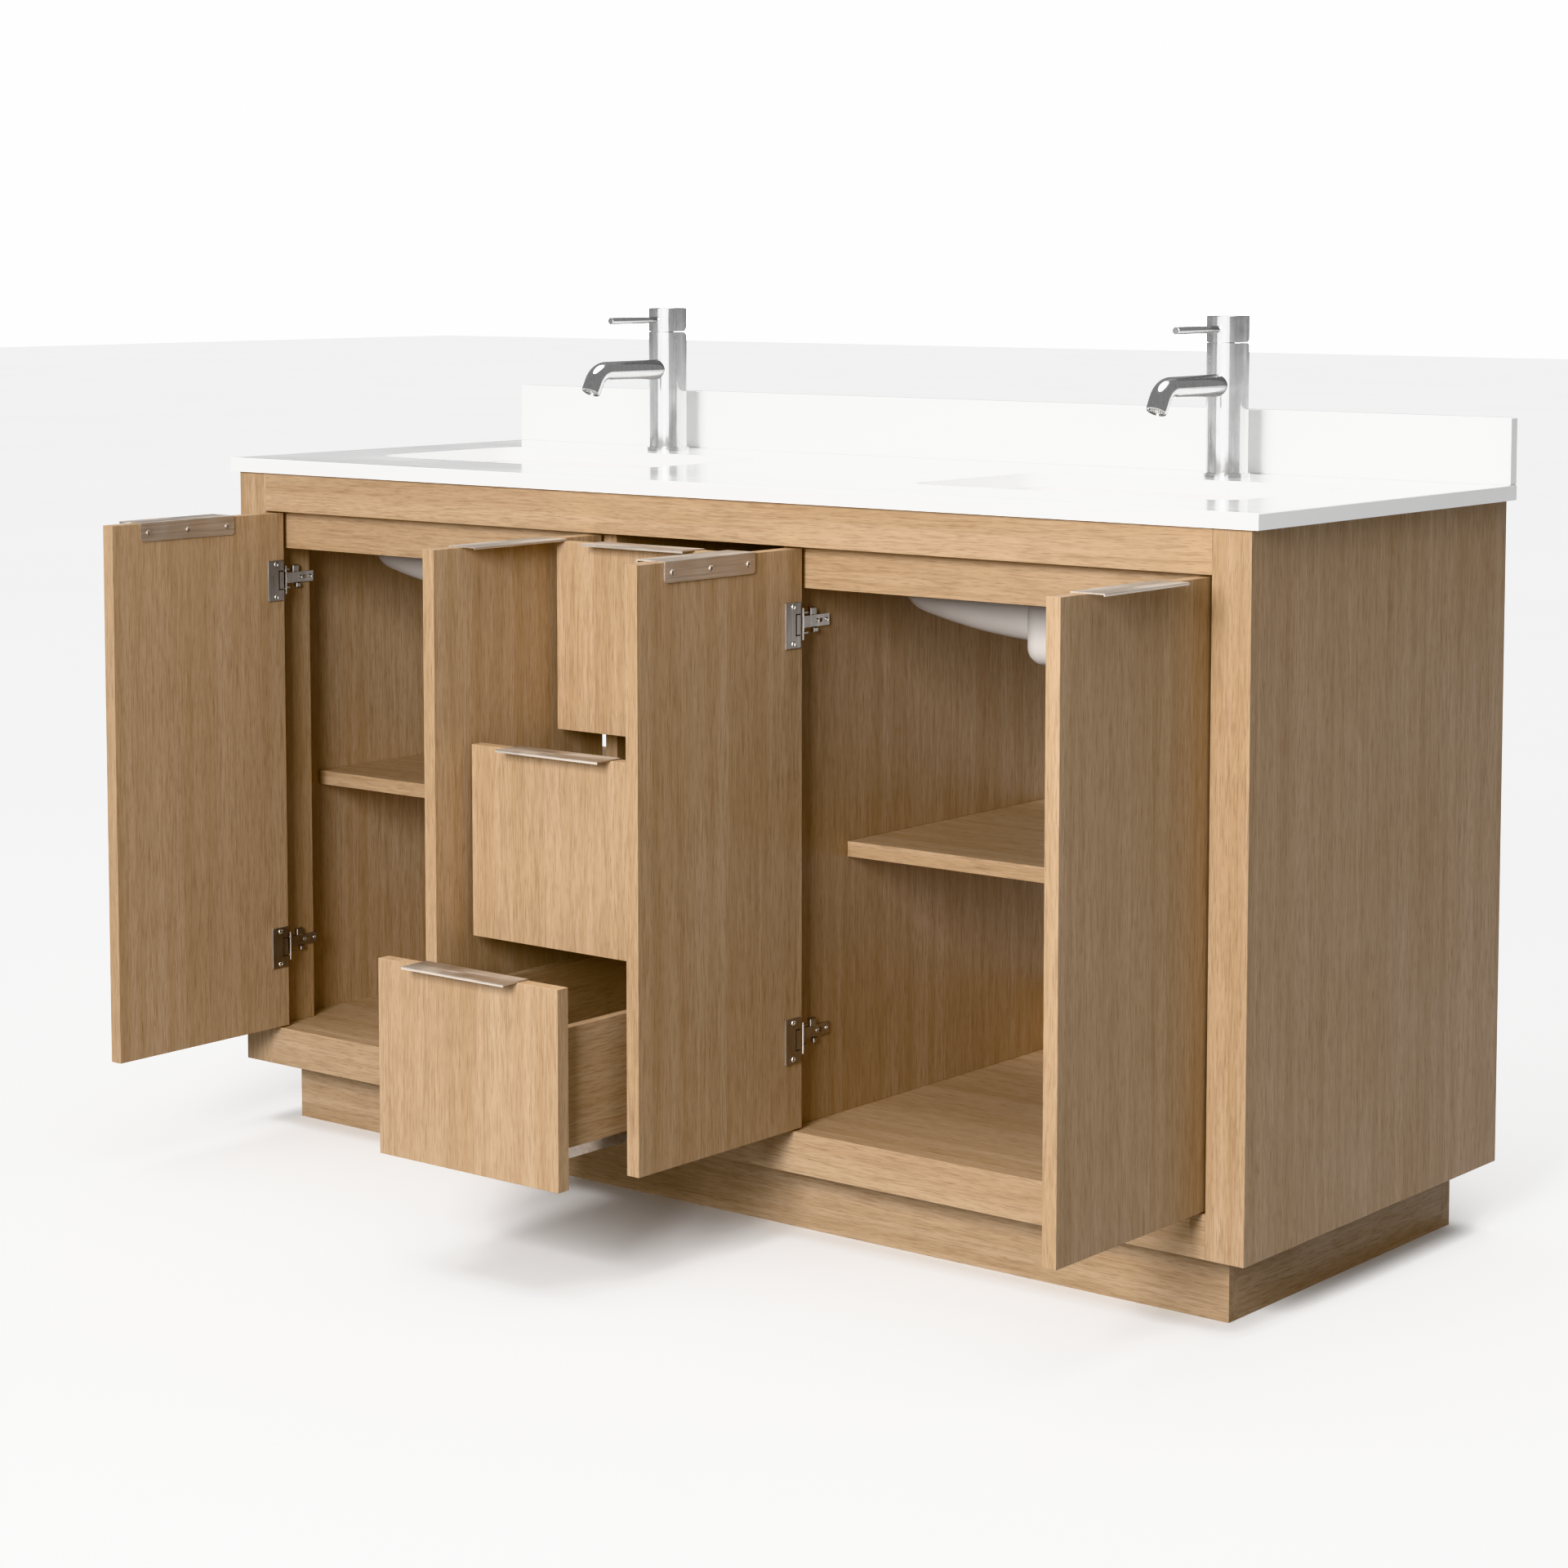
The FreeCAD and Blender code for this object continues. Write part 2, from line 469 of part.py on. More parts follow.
def make_door(number, sign, hand, outer):
    """One door at rest, open at a right angle.

    sign is the bay's side. hand is 1 where the door's free edge points to +X when shut, else -1.
    outer says that it hangs on the gable's filler, and otherwise on the divider.
    """
    kind = "outer" if outer else "inner"
    pivot_in = f"{kind}_pivot_in"
    pivot_deep = f"{kind}_pivot_deep"
    edge = DOOR_OUTER_EDGE if outer else DOOR_INNER_EDGE
    pivot_x = f"({sign} * {edge} + {hand} * {pivot_in})"
    pivot_y = f"({CASE_FRONT} + {pivot_deep})"
    turn = -90 * hand

    def world(local_x, local_y):
        """Place a point of the shut door's own frame (X to the free edge, pivot at 0) with the door open."""
        return (f"{pivot_x} + {hand} * ({local_y})", f"{pivot_y} - ({local_x})")

    name = f"door_{number}"
    body = new_body(f"{name}_panel")
    outline = new_sketch(body, f"{name}_outline", "XY_Plane")
    near = f"{hand} * (-{pivot_in})"
    far = f"{hand} * ({DOOR_WIDE} - {pivot_in})"
    rectangle(outline, (near, far), (f"-{pivot_deep}", f"door_thick - {pivot_deep}"))
    pad(body, outline, DOOR_TALL)
    fillet_edges(body, "arris", lambda edge: True)
    cup_x = f"(wing_gap_{kind} + wing_wide / 2 - {pivot_in})"
    cups = new_sketch(body, f"{name}_cup_bores", "XZ_Plane")
    cups.AttachmentOffset = FreeCAD.Placement(FreeCAD.Vector(0, 0, 0), FreeCAD.Rotation())
    bind(cups, "AttachmentOffset.Base.z", f"{pivot_deep} - door_thick")
    hinge_levels = {"lower": "hinge_from_low", "upper": f"({DOOR_TALL} - hinge_from_high)"}
    for level in hinge_levels.values():
        circle(cups, f"{hand} * {cup_x}", level, "cup_radius + cup_play")
    cut(body, cups, "cup_deep + cup_play", True)
    place(body, pivot_x, pivot_y, DOOR_LOW, turn)
    keep(body, f"{name}_panel")

    pull = pull_body(f"{name}_pull")
    x, y = world(f"{DOOR_WIDE} - {pivot_in} - pull_from_free", f"-{pivot_deep}")
    place(pull, x, y, DOOR_HIGH, turn)
    keep(pull, f"{name}_pull")

    inner_face = f"(door_thick - {pivot_deep})"
    wings = []
    arms = []
    links = []
    wall_x = f"({sign} * {OPENING_EDGE})" if outer else f"({sign} * divider_out)"
    for level, height in hinge_levels.items():
        wing_name = f"{name}_{level}"
        world_z = f"({DOOR_LOW} + {height})"
        wing = board(f"{wing_name}_wing", ("-wing_wide / 2", "wing_wide / 2"), ("0", "wing_thick"),
                     ("0", "wing_high"))
        cup = doc.addObject("Part::Cylinder", f"{wing_name}_cup")
        bind(cup, "Radius", "cup_radius")
        bind(cup, "Height", "cup_deep + wing_thick / 2")
        cup.Placement = FreeCAD.Placement(FreeCAD.Vector(), FreeCAD.Rotation(FreeCAD.Vector(1, 0, 0), 90))
        bind(cup, "Placement.Base.y", "wing_thick / 2")
        bind(cup, "Placement.Base.z", "wing_high / 2")
        whole = fuse(f"{wing_name}_hinge_cup", [wing, cup])
        x, y = world(cup_x, inner_face)
        place(whole, x, y, f"{world_z} - wing_high / 2", turn)
        wings.append(whole)
        arms.append(hinge_arm(f"{wing_name}_arm", wall_x, hand, world_z))
        links.append(hinge_link(f"{wing_name}_link", wall_x, hand, world_z, kind))
    group(f"{name}_hinge_cups", wings)
    group(f"{name}_hinge_links", links)
    return arms


def hinge_arm(name, wall_x, hand, level):
    """The hinge's fixed arm on the bay's wall, with two ears that hold the link's pin."""
    def out(low, high):
        a = f"{wall_x} + {hand} * ({low})"
        b = f"{wall_x} + {hand} * ({high})"
        return (a, b) if hand > 0 else (b, a)
    front = f"({FRAME_BACK} + pin_behind_frame - ear_front)"
    start = f"({front} + strip_start)"
    strip = block(f"{name}_strip", out("0", "arm_thick"), (start, f"{start} + arm_long"),
                  (f"{level} - arm_high / 2", f"{level} + arm_high / 2"))
    base = block(f"{name}_base", out("0", "arm_thick"), (start, f"{front} + ear_deep"),
                 (f"{level} - ear_high / 2", f"{level} + ear_high / 2"))
    ears = []
    for tag, low in (("low", "-ear_high / 2"), ("high", "ear_high / 2 - ear_thick")):
        ears.append(block(f"{name}_ear_{tag}", out("0", "ear_out"), (front, f"{front} + ear_deep"),
                          (f"{level} + {low}", f"{level} + {low} + ear_thick")))
    pin = cylinder(f"{name}_pin", "pin_radius", "ear_high", f"{wall_x} + {hand} * pin_off_wall",
                   f"{FRAME_BACK} + pin_behind_frame", f"{level} - ear_high / 2")
    solid = fuse(f"{name}_joined", [strip, base, pin] + ears)
    hole = doc.addObject("Part::Cylinder", f"{name}_hole")
    bind(hole, "Radius", "arm_hole")
    bind(hole, "Height", "drill_long")
    hole.Placement = FreeCAD.Placement(FreeCAD.Vector(), FreeCAD.Rotation(FreeCAD.Vector(0, 1, 0), 90))
    bind(hole, "Placement.Base.x", f"{wall_x} - drill_long / 2")
    bind(hole, "Placement.Base.y", f"{front} + arm_long - arm_hole_in")
    bind(hole, "Placement.Base.z", level)
    return take_away(f"{name}_drilled", solid, hole)


def hinge_link(name, wall_x, hand, level, kind):
    """The hinge's swinging link: a knuckle on the arm's pin, and a plate that widens past the ears."""
    long = f"link_long_{kind}"
    body = new_body(name)
    plate = new_sketch(body, f"{name}_plate", "XZ_Plane")
    polygon(plate, [("0", "-link_narrow / 2"), ("link_neck", "-link_narrow / 2"), (long, "-link_wide / 2"),
                    (long, "link_wide / 2"), ("link_neck", "link_narrow / 2"), ("0", "link_narrow / 2")])
    pad(body, plate, "link_thick", True)
    knuckle = new_sketch(body, f"{name}_knuckle", "XY_Plane")
    circle(knuckle, "0", "0", "link_knuckle")
    pad(body, knuckle, "link_narrow", True)
    bore = new_sketch(body, f"{name}_bore", "XY_Plane")
    circle(bore, "0", "0", "pin_radius + pin_play")
    slot = cut(body, bore, "link_narrow + over", False)
    slot.Midplane = True
    dip = size(f"link_dip_{kind}")
    turn = -dip if hand > 0 else 180 + dip
    place(body, f"{wall_x} + {hand} * pin_off_wall", f"{FRAME_BACK} + pin_behind_frame", level, turn)
    return body


# ----------------------------------------------------------------------------------------- drawers

def make_drawer(number, drawn):
    """One drawer at rest, drawn out; number 1 is the top one."""
    name = f"drawer_{number}"
    low = f"({DOOR_LOW} + {3 - number} * (front_high + reveal))"
    front_y = f"({CASE_FRONT} - {drawn})"
    back_y = f"({front_y} + door_thick)"
    keep(board(f"{name}_front", ("-front_wide / 2", "front_wide / 2"), (front_y, back_y),
               (low, f"{low} + front_high")), f"{name}_front")
    pull = pull_body(f"{name}_pull")
    place(pull, 0, front_y, f"{low} + front_high")
    keep(pull, f"{name}_pull")

    base = f"({low} + box_rise)"
    half = "(box_wide / 2)"
    outer = block(f"{name}_box_outer", (f"-{half}", half), (back_y, f"{back_y} + box_long"),
                  (base, f"{base} + box_high"))
    inner = block(f"{name}_box_inner", (f"-{half} + box_side", f"{half} - box_side"),
                  (f"{back_y} + box_side", f"{back_y} + box_long - box_side"),
                  (f"{base} - over", f"{base} + box_high + over"))
    sides = take_away(f"{name}_box_sides", outer, inner)
    bottom = block(f"{name}_box_bottom", (f"-{half} + box_side", f"{half} - box_side"),
                   (f"{back_y} + box_side", f"{back_y} + box_long - box_side"),
                   (f"{base} + box_floor_rise", f"{base} + box_floor_rise + box_floor"))
    group(f"{name}_box", [sides, bottom])

    slides = []
    rails = []
    start = f"({FRAME_BACK} + runner_start)"
    for side, sign in SIDES.items():
        width = mirrored_pair(sign, f"{half} - runner_side - runner_wide", f"{half} - runner_side")
        slides.append(block(f"{name}_slide_{side}", width,
                            (f"{start} - {drawn}", f"{start} - {drawn} + runner_long - runner_short"),
                            (f"{base} - runner_high", base)))
        rails.append(runner_rail(f"{name}_rail_{side}", sign, start, base))
    group(f"{name}_runners", slides)
    return rails


def runner_rail(name, sign, start, base):
    """The cabinet half of an undermount runner: an L section on the divider that carries the slide."""
    top = f"({base} - runner_high - runner_play)"
    run = (start, f"{start} + runner_long")
    shelf = block(f"{name}_shelf", mirrored_pair(sign, f"{DIVIDER_IN} - rail_shelf", DIVIDER_IN), run,
                  (f"{top} - rail_sheet", top))
    flange = block(f"{name}_flange", mirrored_pair(sign, f"{DIVIDER_IN} - rail_sheet", DIVIDER_IN), run,
                   (f"{top} - rail_sheet - rail_high / 2", f"{top} - rail_sheet + rail_high / 2"))
    return fuse(f"{name}_joined", [shelf, flange])


# -------------------------------------------------------------------------------------------- taps

def spout_solid():
    """The spout in the tap's own frame: a taper to the bend, a bend down, and a short straight end."""
    level = size("spout_level")
    root = size("spout_root")
    end = size("spout_end")
    straight = size("spout_straight")
    bend = size("spout_bend")
    turn = math.radians(size("spout_turn"))
    drop = size("spout_drop")
    forward = FreeCAD.Vector(0, -1, 0)
    taper = Part.makeCone(root, end, straight, FreeCAD.Vector(0, 0, level), forward)
    start = FreeCAD.Vector(0, -straight, level)
    middle_angle = turn / 2
    middle = start + FreeCAD.Vector(0, -bend * math.sin(middle_angle), -bend * (1 - math.cos(middle_angle)))
    finish = start + FreeCAD.Vector(0, -bend * math.sin(turn), -bend * (1 - math.cos(turn)))
    heading = FreeCAD.Vector(0, -math.cos(turn), -math.sin(turn))
    tip = finish + heading * drop
    path = Part.Wire([Part.Arc(start, middle, finish).toShape(), Part.LineSegment(finish, tip).toShape()])
    section = Part.Wire([Part.Circle(start, forward, end).toShape()])
    tube = path.makePipeShell([section], True, False)
    recess = Part.makeCylinder(end - size("spout_skin"), size("spout_recess") + size("over"),
                               tip - heading * size("spout_recess"), heading)
    return taper.fuse(tube).cut(recess)


def make_taps():
    shanks = []
    for side, sign in SIDES.items():
        x = f"{sign} * tap_x"
        y = "(-top_deep / 2 + tap_back)"
        foot = Part.makeCylinder(size("tap_foot_radius"), size("tap_foot_high"))
        column = Part.makeCylinder(size("tap_radius"), size("tap_split") - size("tap_joint"))
        bore = Part.makeCylinder(size("tap_bore"), size("tap_bore_deep"),
                                 FreeCAD.Vector(0, 0, size("tap_split") - size("tap_bore_deep")))
        spout = spout_solid().cut(bore)
        shape = foot.fuse([column, spout]).cut(bore)
        notch = tilt_wedge(size("tap_split") - size("tap_joint"), -size("rest_notch"))
        body = doc.addObject("Part::Feature", f"tap_{side}_body")
        body.Shape = shape.cut(notch).removeSplitter()
        place(body, x, y, "top_level")
        keep(body, f"tap_{side}_body")

        play = size("cartridge_play")
        low = size("tap_split") - size("tap_bore_deep") + play
        sunk = size("stem_sunk")
        barrel = Part.makeCylinder(size("tap_bore") - play, size("tap_bore_deep") - play - sunk,
                                   FreeCAD.Vector(0, 0, low))
        stem = Part.makeCylinder(size("stem_radius"), size("stem_high"),
                                 FreeCAD.Vector(0, 0, size("tap_split") - sunk))
        cartridge = doc.addObject("Part::Feature", f"tap_{side}_cartridge")
        cartridge.Shape = barrel.fuse(stem).removeSplitter()
        place(cartridge, x, y, "top_level")
        keep(cartridge, f"tap_{side}_cartridge")

        wall = size("cap_wall")
        low = size("tap_split")
        tall = size("tap_high") - low
        cap = Part.makeCylinder(size("tap_radius"), tall, FreeCAD.Vector(0, 0, low))
        rim = [edge for edge in cap.Edges if edge.BoundBox.ZMin > low + tall - 0.01]
        cap = cap.makeFillet(size("cap_round"), rim)
        hollow = Part.makeCylinder(size("tap_radius") - wall, tall - wall, FreeCAD.Vector(0, 0, low))
        cap = cap.cut(hollow).cut(tilt_wedge(low, size("tilt_notch"))).removeSplitter()
        rod_start = size("tap_radius") - size("lever_sunk")
        rod = Part.makeCone(size("lever_root"), size("lever_tip"), size("lever_reach") - rod_start,
                            FreeCAD.Vector(0, -rod_start, size("lever_level")), FreeCAD.Vector(0, -1, 0))
        ends = [edge for edge in rod.Edges if abs(edge.CenterOfMass.y + size("lever_reach")) < 0.01]
        rod = rod.makeFillet(size("lever_round"), ends)
        handle = doc.addObject("Part::Feature", f"tap_{side}_handle")
        handle.Shape = cap.fuse(rod).removeSplitter()
        place(handle, x, y, "top_level")
        keep(handle, f"tap_{side}_handle")

        shanks.append(cylinder(f"tap_{side}_shank", "shank_radius", "shank_long", x, y,
                               "top_level - shank_long"))
        nut = doc.addObject("Part::Prism", f"tap_{side}_nut")
        nut.Polygon = 6
        bind(nut, "Circumradius", "nut_radius")
        bind(nut, "Height", "nut_high")
        place(nut, x, y, f"{TOP_UNDER} - nut_high")
        bore = cylinder(f"tap_{side}_nut_bore", "shank_radius + nut_play", "nut_high + 2 * over", x, y,
                        f"{TOP_UNDER} - nut_high - over")
        shanks.append(take_away(f"tap_{side}_nut_drilled", nut, bore))
    group("tap_fixings", shanks)


def tilt_wedge(level, angle):
    """A wedge behind the tilt axis that lets the cap lean back; it opens upwards if the angle is positive."""
    back = size("tilt_back")
    run = 3 * size("tap_radius")
    rise = run * math.tan(math.radians(angle))
    start = FreeCAD.Vector(-run, back, level)
    level_end = start + FreeCAD.Vector(0, run, 0)
    outline = Part.makePolygon([start, level_end, level_end + FreeCAD.Vector(0, 0, rise), start])
    return Part.Face(outline).extrude(FreeCAD.Vector(2 * run, 0, 0))


# ---------------------------------------------------------------------------------------- assembly

make_carcass()
make_plinth()
make_top()
make_basins()
hinge_arms = []
for number, sign, hand, outer in ((1, -1, 1, True), (2, -1, -1, False), (3, 1, 1, False), (4, 1, -1, True)):
    hinge_arms += make_door(number, sign, hand, outer)
group("hinge_arms", hinge_arms)
runner_rails = []
for number, drawn in ((1, "drawn_top"), (2, "drawn_middle"), (3, "drawn_bottom")):
    runner_rails += make_drawer(number, drawn)
group("drawer_runner_rails", runner_rails)
make_taps()

doc.recompute()

for thing in doc.Objects:
    if "Invalid" in thing.State or "Error" in thing.State:
        raise RuntimeError(f"{thing.Label} did not build: {thing.State}")
for thing in SUBPARTS:
    if thing.Shape.isNull() or not thing.Shape.isValid():
        raise RuntimeError(f"{thing.Label} has no valid shape")

os.makedirs("parts", exist_ok=True)
for thing in SUBPARTS:
    thing.Shape.exportStep(f"parts/{thing.Label}.step")
print(f"{len(SUBPARTS)} sub-parts written")
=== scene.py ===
import functools
import json
import math

import bmesh
import bpy
from mathutils import Matrix, Vector

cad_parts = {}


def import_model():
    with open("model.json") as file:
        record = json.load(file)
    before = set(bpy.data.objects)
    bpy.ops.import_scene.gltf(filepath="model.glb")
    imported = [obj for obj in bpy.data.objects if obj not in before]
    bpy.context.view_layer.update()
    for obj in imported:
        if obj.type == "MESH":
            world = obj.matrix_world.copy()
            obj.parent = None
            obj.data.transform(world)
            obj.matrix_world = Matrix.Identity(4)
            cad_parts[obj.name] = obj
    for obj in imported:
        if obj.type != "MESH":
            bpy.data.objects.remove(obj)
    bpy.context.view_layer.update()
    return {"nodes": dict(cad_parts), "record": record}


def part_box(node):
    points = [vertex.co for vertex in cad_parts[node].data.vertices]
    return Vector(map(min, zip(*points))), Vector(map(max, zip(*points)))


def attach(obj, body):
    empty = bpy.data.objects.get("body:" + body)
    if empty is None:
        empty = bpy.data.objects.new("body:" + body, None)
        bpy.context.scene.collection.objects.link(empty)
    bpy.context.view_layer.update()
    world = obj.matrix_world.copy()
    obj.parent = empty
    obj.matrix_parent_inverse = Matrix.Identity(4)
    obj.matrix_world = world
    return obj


# Finishes, small fittings, light and camera for the double bathroom vanity. Metres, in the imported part's
# frame: X along the width, -Y the front, Z up. CAD nodes keep their shape and place, and only get materials.

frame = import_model()
NODES = frame["nodes"]
JOINTS = {joint["name"]: joint for joint in frame["record"]["behaviour"]["joints"]}

MM = 0.001
DOORS = {1: 1, 2: -1, 3: 1, 4: -1}      # door number, and the side (+X or -X) its inner face looks to at rest
DRAWERS = (1, 2, 3)
SIDES = ("left", "right")

X = Vector((1, 0, 0))
Y = Vector((0, 1, 0))
Z = Vector((0, 0, 1))


@functools.lru_cache(maxsize=None)
def box(name):
    """A CAD node's two opposite corners at rest."""
    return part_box(name)


# ------------------------------------------------------------------------------------- node helpers

class Finish:
    """One material's node tree, with short calls for the nodes that the finishes share."""

    def __init__(self, name):
        self.material = bpy.data.materials.new(name)
        self.material.use_nodes = True
        self.tree = self.material.node_tree
        self.shader = self.tree.nodes["Principled BSDF"]
        self.place = self.tree.nodes.new("ShaderNodeTexCoord").outputs["Object"]

    def set(self, **values):
        """Constant shader values, with underscores for the spaces in their names."""
        for key, value in values.items():
            self.shader.inputs[key.replace("_", " ")].default_value = value

    def link(self, output, socket):
        self.tree.links.new(output, socket)

    def to_shader(self, output, name):
        self.link(output, self.shader.inputs[name])

    def stretched(self, scale, shift=(0, 0, 0), source=None):
        node = self.tree.nodes.new("ShaderNodeMapping")
        node.inputs["Scale"].default_value = scale
        node.inputs["Location"].default_value = shift
        self.link(source or self.place, node.inputs["Vector"])
        return node.outputs[0]

    def noise(self, vector, scale=1.0, detail=2.0, rough=0.5, distortion=0.0):
        node = self.tree.nodes.new("ShaderNodeTexNoise")
        node.inputs["Scale"].default_value = scale
        node.inputs["Detail"].default_value = detail
        node.inputs["Roughness"].default_value = rough
        node.inputs["Distortion"].default_value = distortion
        self.link(vector, node.inputs["Vector"])
        return node.outputs[0]

    def remap(self, value, low, high, new_low=0.0, new_high=1.0):
        node = self.tree.nodes.new("ShaderNodeMapRange")
        ends = {"From Min": low, "From Max": high, "To Min": new_low, "To Max": new_high}
        for name, number in ends.items():
            node.inputs[name].default_value = number
        self.link(value, node.inputs["Value"])
        return node.outputs[0]

    def maths(self, operation, a, b):
        node = self.tree.nodes.new("ShaderNodeMath")
        node.operation = operation
        for socket, value in zip(node.inputs, (a, b)):
            if isinstance(value, (int, float)):
                socket.default_value = value
            else:
                self.link(value, socket)
        return node.outputs[0]

    def mix(self, factor, a, b, blend="MIX"):
        """Mix two colours; each is a tuple or another node's output."""
        node = self.tree.nodes.new("ShaderNodeMix")
        node.data_type = "RGBA"
        node.blend_type = blend
        for socket, value in ((node.inputs[0], factor), (node.inputs[6], a), (node.inputs[7], b)):
            if isinstance(value, (int, float)):
                socket.default_value = value
            elif isinstance(value, tuple):
                socket.default_value = (*value, 1.0)
            else:
                self.link(value, socket)
        return node.outputs[2]

    def bump(self, height, strength, distance, below=None):
        node = self.tree.nodes.new("ShaderNodeBump")
        node.inputs["Strength"].default_value = strength
        node.inputs["Distance"].default_value = distance
        self.link(height, node.inputs["Height"])
        if below is not None:
            self.link(below, node.inputs["Normal"])
        return node.outputs[0]


def along(axis, across_scale, along_scale):
    """A scale vector with one value across the grain and another along it; axis is 0, 1 or 2."""
    scale = [across_scale] * 3
    scale[axis] = along_scale
    return tuple(scale)


# ---------------------------------------------------------------------------------------- materials

OAK_PALE = (0.450, 0.318, 0.204)
OAK_MID = (0.370, 0.246, 0.142)
OAK_DARK = (0.200, 0.116, 0.058)


def oak(name, axis, seed, shade=1.0):
    """Straight-grained, satin-lacquered oak veneer with its grain along one axis."""
    finish = Finish(name)
    shift = (seed * 3.17, seed * 5.71, seed * 2.39)
    tones = (OAK_PALE, OAK_MID, OAK_DARK)
    pale, mid, dark = (tuple(channel * shade for channel in tone) for tone in tones)

    # a slow wander, so that the lines are not ruled
    wander = finish.noise(finish.stretched(along(axis, 9.0, 2.2), shift), detail=1.0)
    sway = finish.tree.nodes.new("ShaderNodeVectorMath")
    sway.operation = "MULTIPLY_ADD"
    finish.link(wander, sway.inputs[0])
    sway.inputs[1].default_value = along(axis, 0.010, 0.0)
    finish.link(finish.place, sway.inputs[2])
    wood = sway.outputs[0]

    leaves = finish.noise(finish.stretched(along(axis, 7.0, 0.5), shift, wood), detail=1.0)
    bands = finish.noise(finish.stretched(along(axis, 60.0, 1.3), shift, wood), detail=2.0, rough=0.55)
    lines = finish.noise(finish.stretched(along(axis, 430.0, 21.0), shift, wood), detail=2.0, rough=0.6)
    pores = finish.noise(finish.stretched(along(axis, 1500.0, 55.0), shift, wood), detail=1.0)
    flecks = finish.noise(finish.stretched(along(axis, 230.0, 34.0), shift, wood), detail=1.0)

    colour = finish.mix(finish.remap(bands, 0.34, 0.66), pale, mid)
    colour = finish.mix(finish.remap(leaves, 0.35, 0.65, 0.0, 0.30), colour, mid)
    colour = finish.mix(finish.remap(lines, 0.46, 0.72, 0.0, 0.46), colour, dark)
    colour = finish.mix(finish.remap(pores, 0.56, 0.68, 0.0, 0.46), colour, dark)
    colour = finish.mix(finish.remap(flecks, 0.60, 0.72, 0.0, 0.30), colour, pale)
    finish.to_shader(colour, "Base Color")

    # lacquer: a little uneven from handling, and open in the pores
    handled = finish.noise(finish.stretched((6.0, 6.0, 6.0), shift), detail=3.0)
    rough = finish.remap(handled, 0.3, 0.7, 0.40, 0.50)
    rough = finish.maths("ADD", rough, finish.remap(pores, 0.58, 0.70, 0.0, 0.16))
    finish.to_shader(rough, "Roughness")
    grain = finish.bump(lines, 0.18, 0.0004)
    finish.to_shader(finish.bump(pores, 0.30, 0.0003, grain), "Normal")
    finish.set(Specular_IOR_Level=0.24, Coat_Weight=0.03, Coat_Roughness=0.32)
    return finish.material


def stone():
    """Polished white engineered stone, with very faint clouds and a fine sparkle of grains."""
    finish = Finish("white_stone")
    clouds = finish.noise(finish.stretched((3.0, 3.0, 3.0)), detail=4.0, rough=0.6)
    grains = finish.noise(finish.stretched((900.0, 900.0, 900.0)), detail=1.0)
    colour = finish.mix(finish.remap(clouds, 0.3, 0.7), (0.93, 0.93, 0.92), (0.89, 0.89, 0.885))
    colour = finish.mix(finish.remap(grains, 0.60, 0.78, 0.0, 0.25), colour, (0.82, 0.82, 0.81))
    finish.to_shader(colour, "Base Color")
    smears = finish.noise(finish.stretched((5.0, 9.0, 5.0)), detail=3.0)
    finish.to_shader(finish.remap(smears, 0.3, 0.7, 0.10, 0.17), "Roughness")
    finish.to_shader(finish.bump(grains, 0.03, 0.0002), "Normal")
    finish.set(Specular_IOR_Level=0.5, Coat_Weight=0.25, Coat_Roughness=0.06)
    return finish.material


def ceramic():
    """Glazed white ceramic: slightly wavy from firing, with pinholes of dust and a faint warm cast."""
    finish = Finish("white_ceramic")
    firing = finish.noise(finish.stretched((11.0, 11.0, 11.0)), detail=2.0)
    specks = finish.noise(finish.stretched((650.0, 650.0, 650.0)), detail=1.0)
    colour = finish.mix(finish.remap(firing, 0.3, 0.7), (0.92, 0.915, 0.905), (0.88, 0.87, 0.855))
    colour = finish.mix(finish.remap(specks, 0.72, 0.80, 0.0, 0.25), colour, (0.60, 0.56, 0.52))
    finish.to_shader(colour, "Base Color")
    finish.to_shader(finish.remap(firing, 0.3, 0.7, 0.07, 0.13), "Roughness")
    waves = finish.bump(firing, 0.08, 0.002)
    finish.to_shader(finish.bump(specks, 0.05, 0.0002, waves), "Normal")
    finish.set(Specular_IOR_Level=0.5, Coat_Weight=0.4, Coat_Roughness=0.04)
    return finish.material


def unglazed_with_painted_shade():
    """The basins' unglazed outside: matt and faintly blotched from the kiln, and greyer than its own tone as
    painted shade under the stone top.
    """
    finish = Finish("unglazed_ceramic_painted_shade")
    blotches = finish.noise(finish.stretched((14.0, 14.0, 14.0)), detail=3.0)
    tooth = finish.noise(finish.stretched((700.0, 700.0, 700.0)), detail=2.0)
    colour = finish.mix(finish.remap(blotches, 0.3, 0.7), (0.54, 0.505, 0.48), (0.48, 0.45, 0.425))
    finish.to_shader(colour, "Base Color")
    finish.to_shader(finish.remap(tooth, 0.3, 0.7, 0.55, 0.72), "Roughness")
    finish.to_shader(finish.bump(tooth, 0.08, 0.0002), "Normal")
    finish.set(Specular_IOR_Level=0.3)
    return finish.material


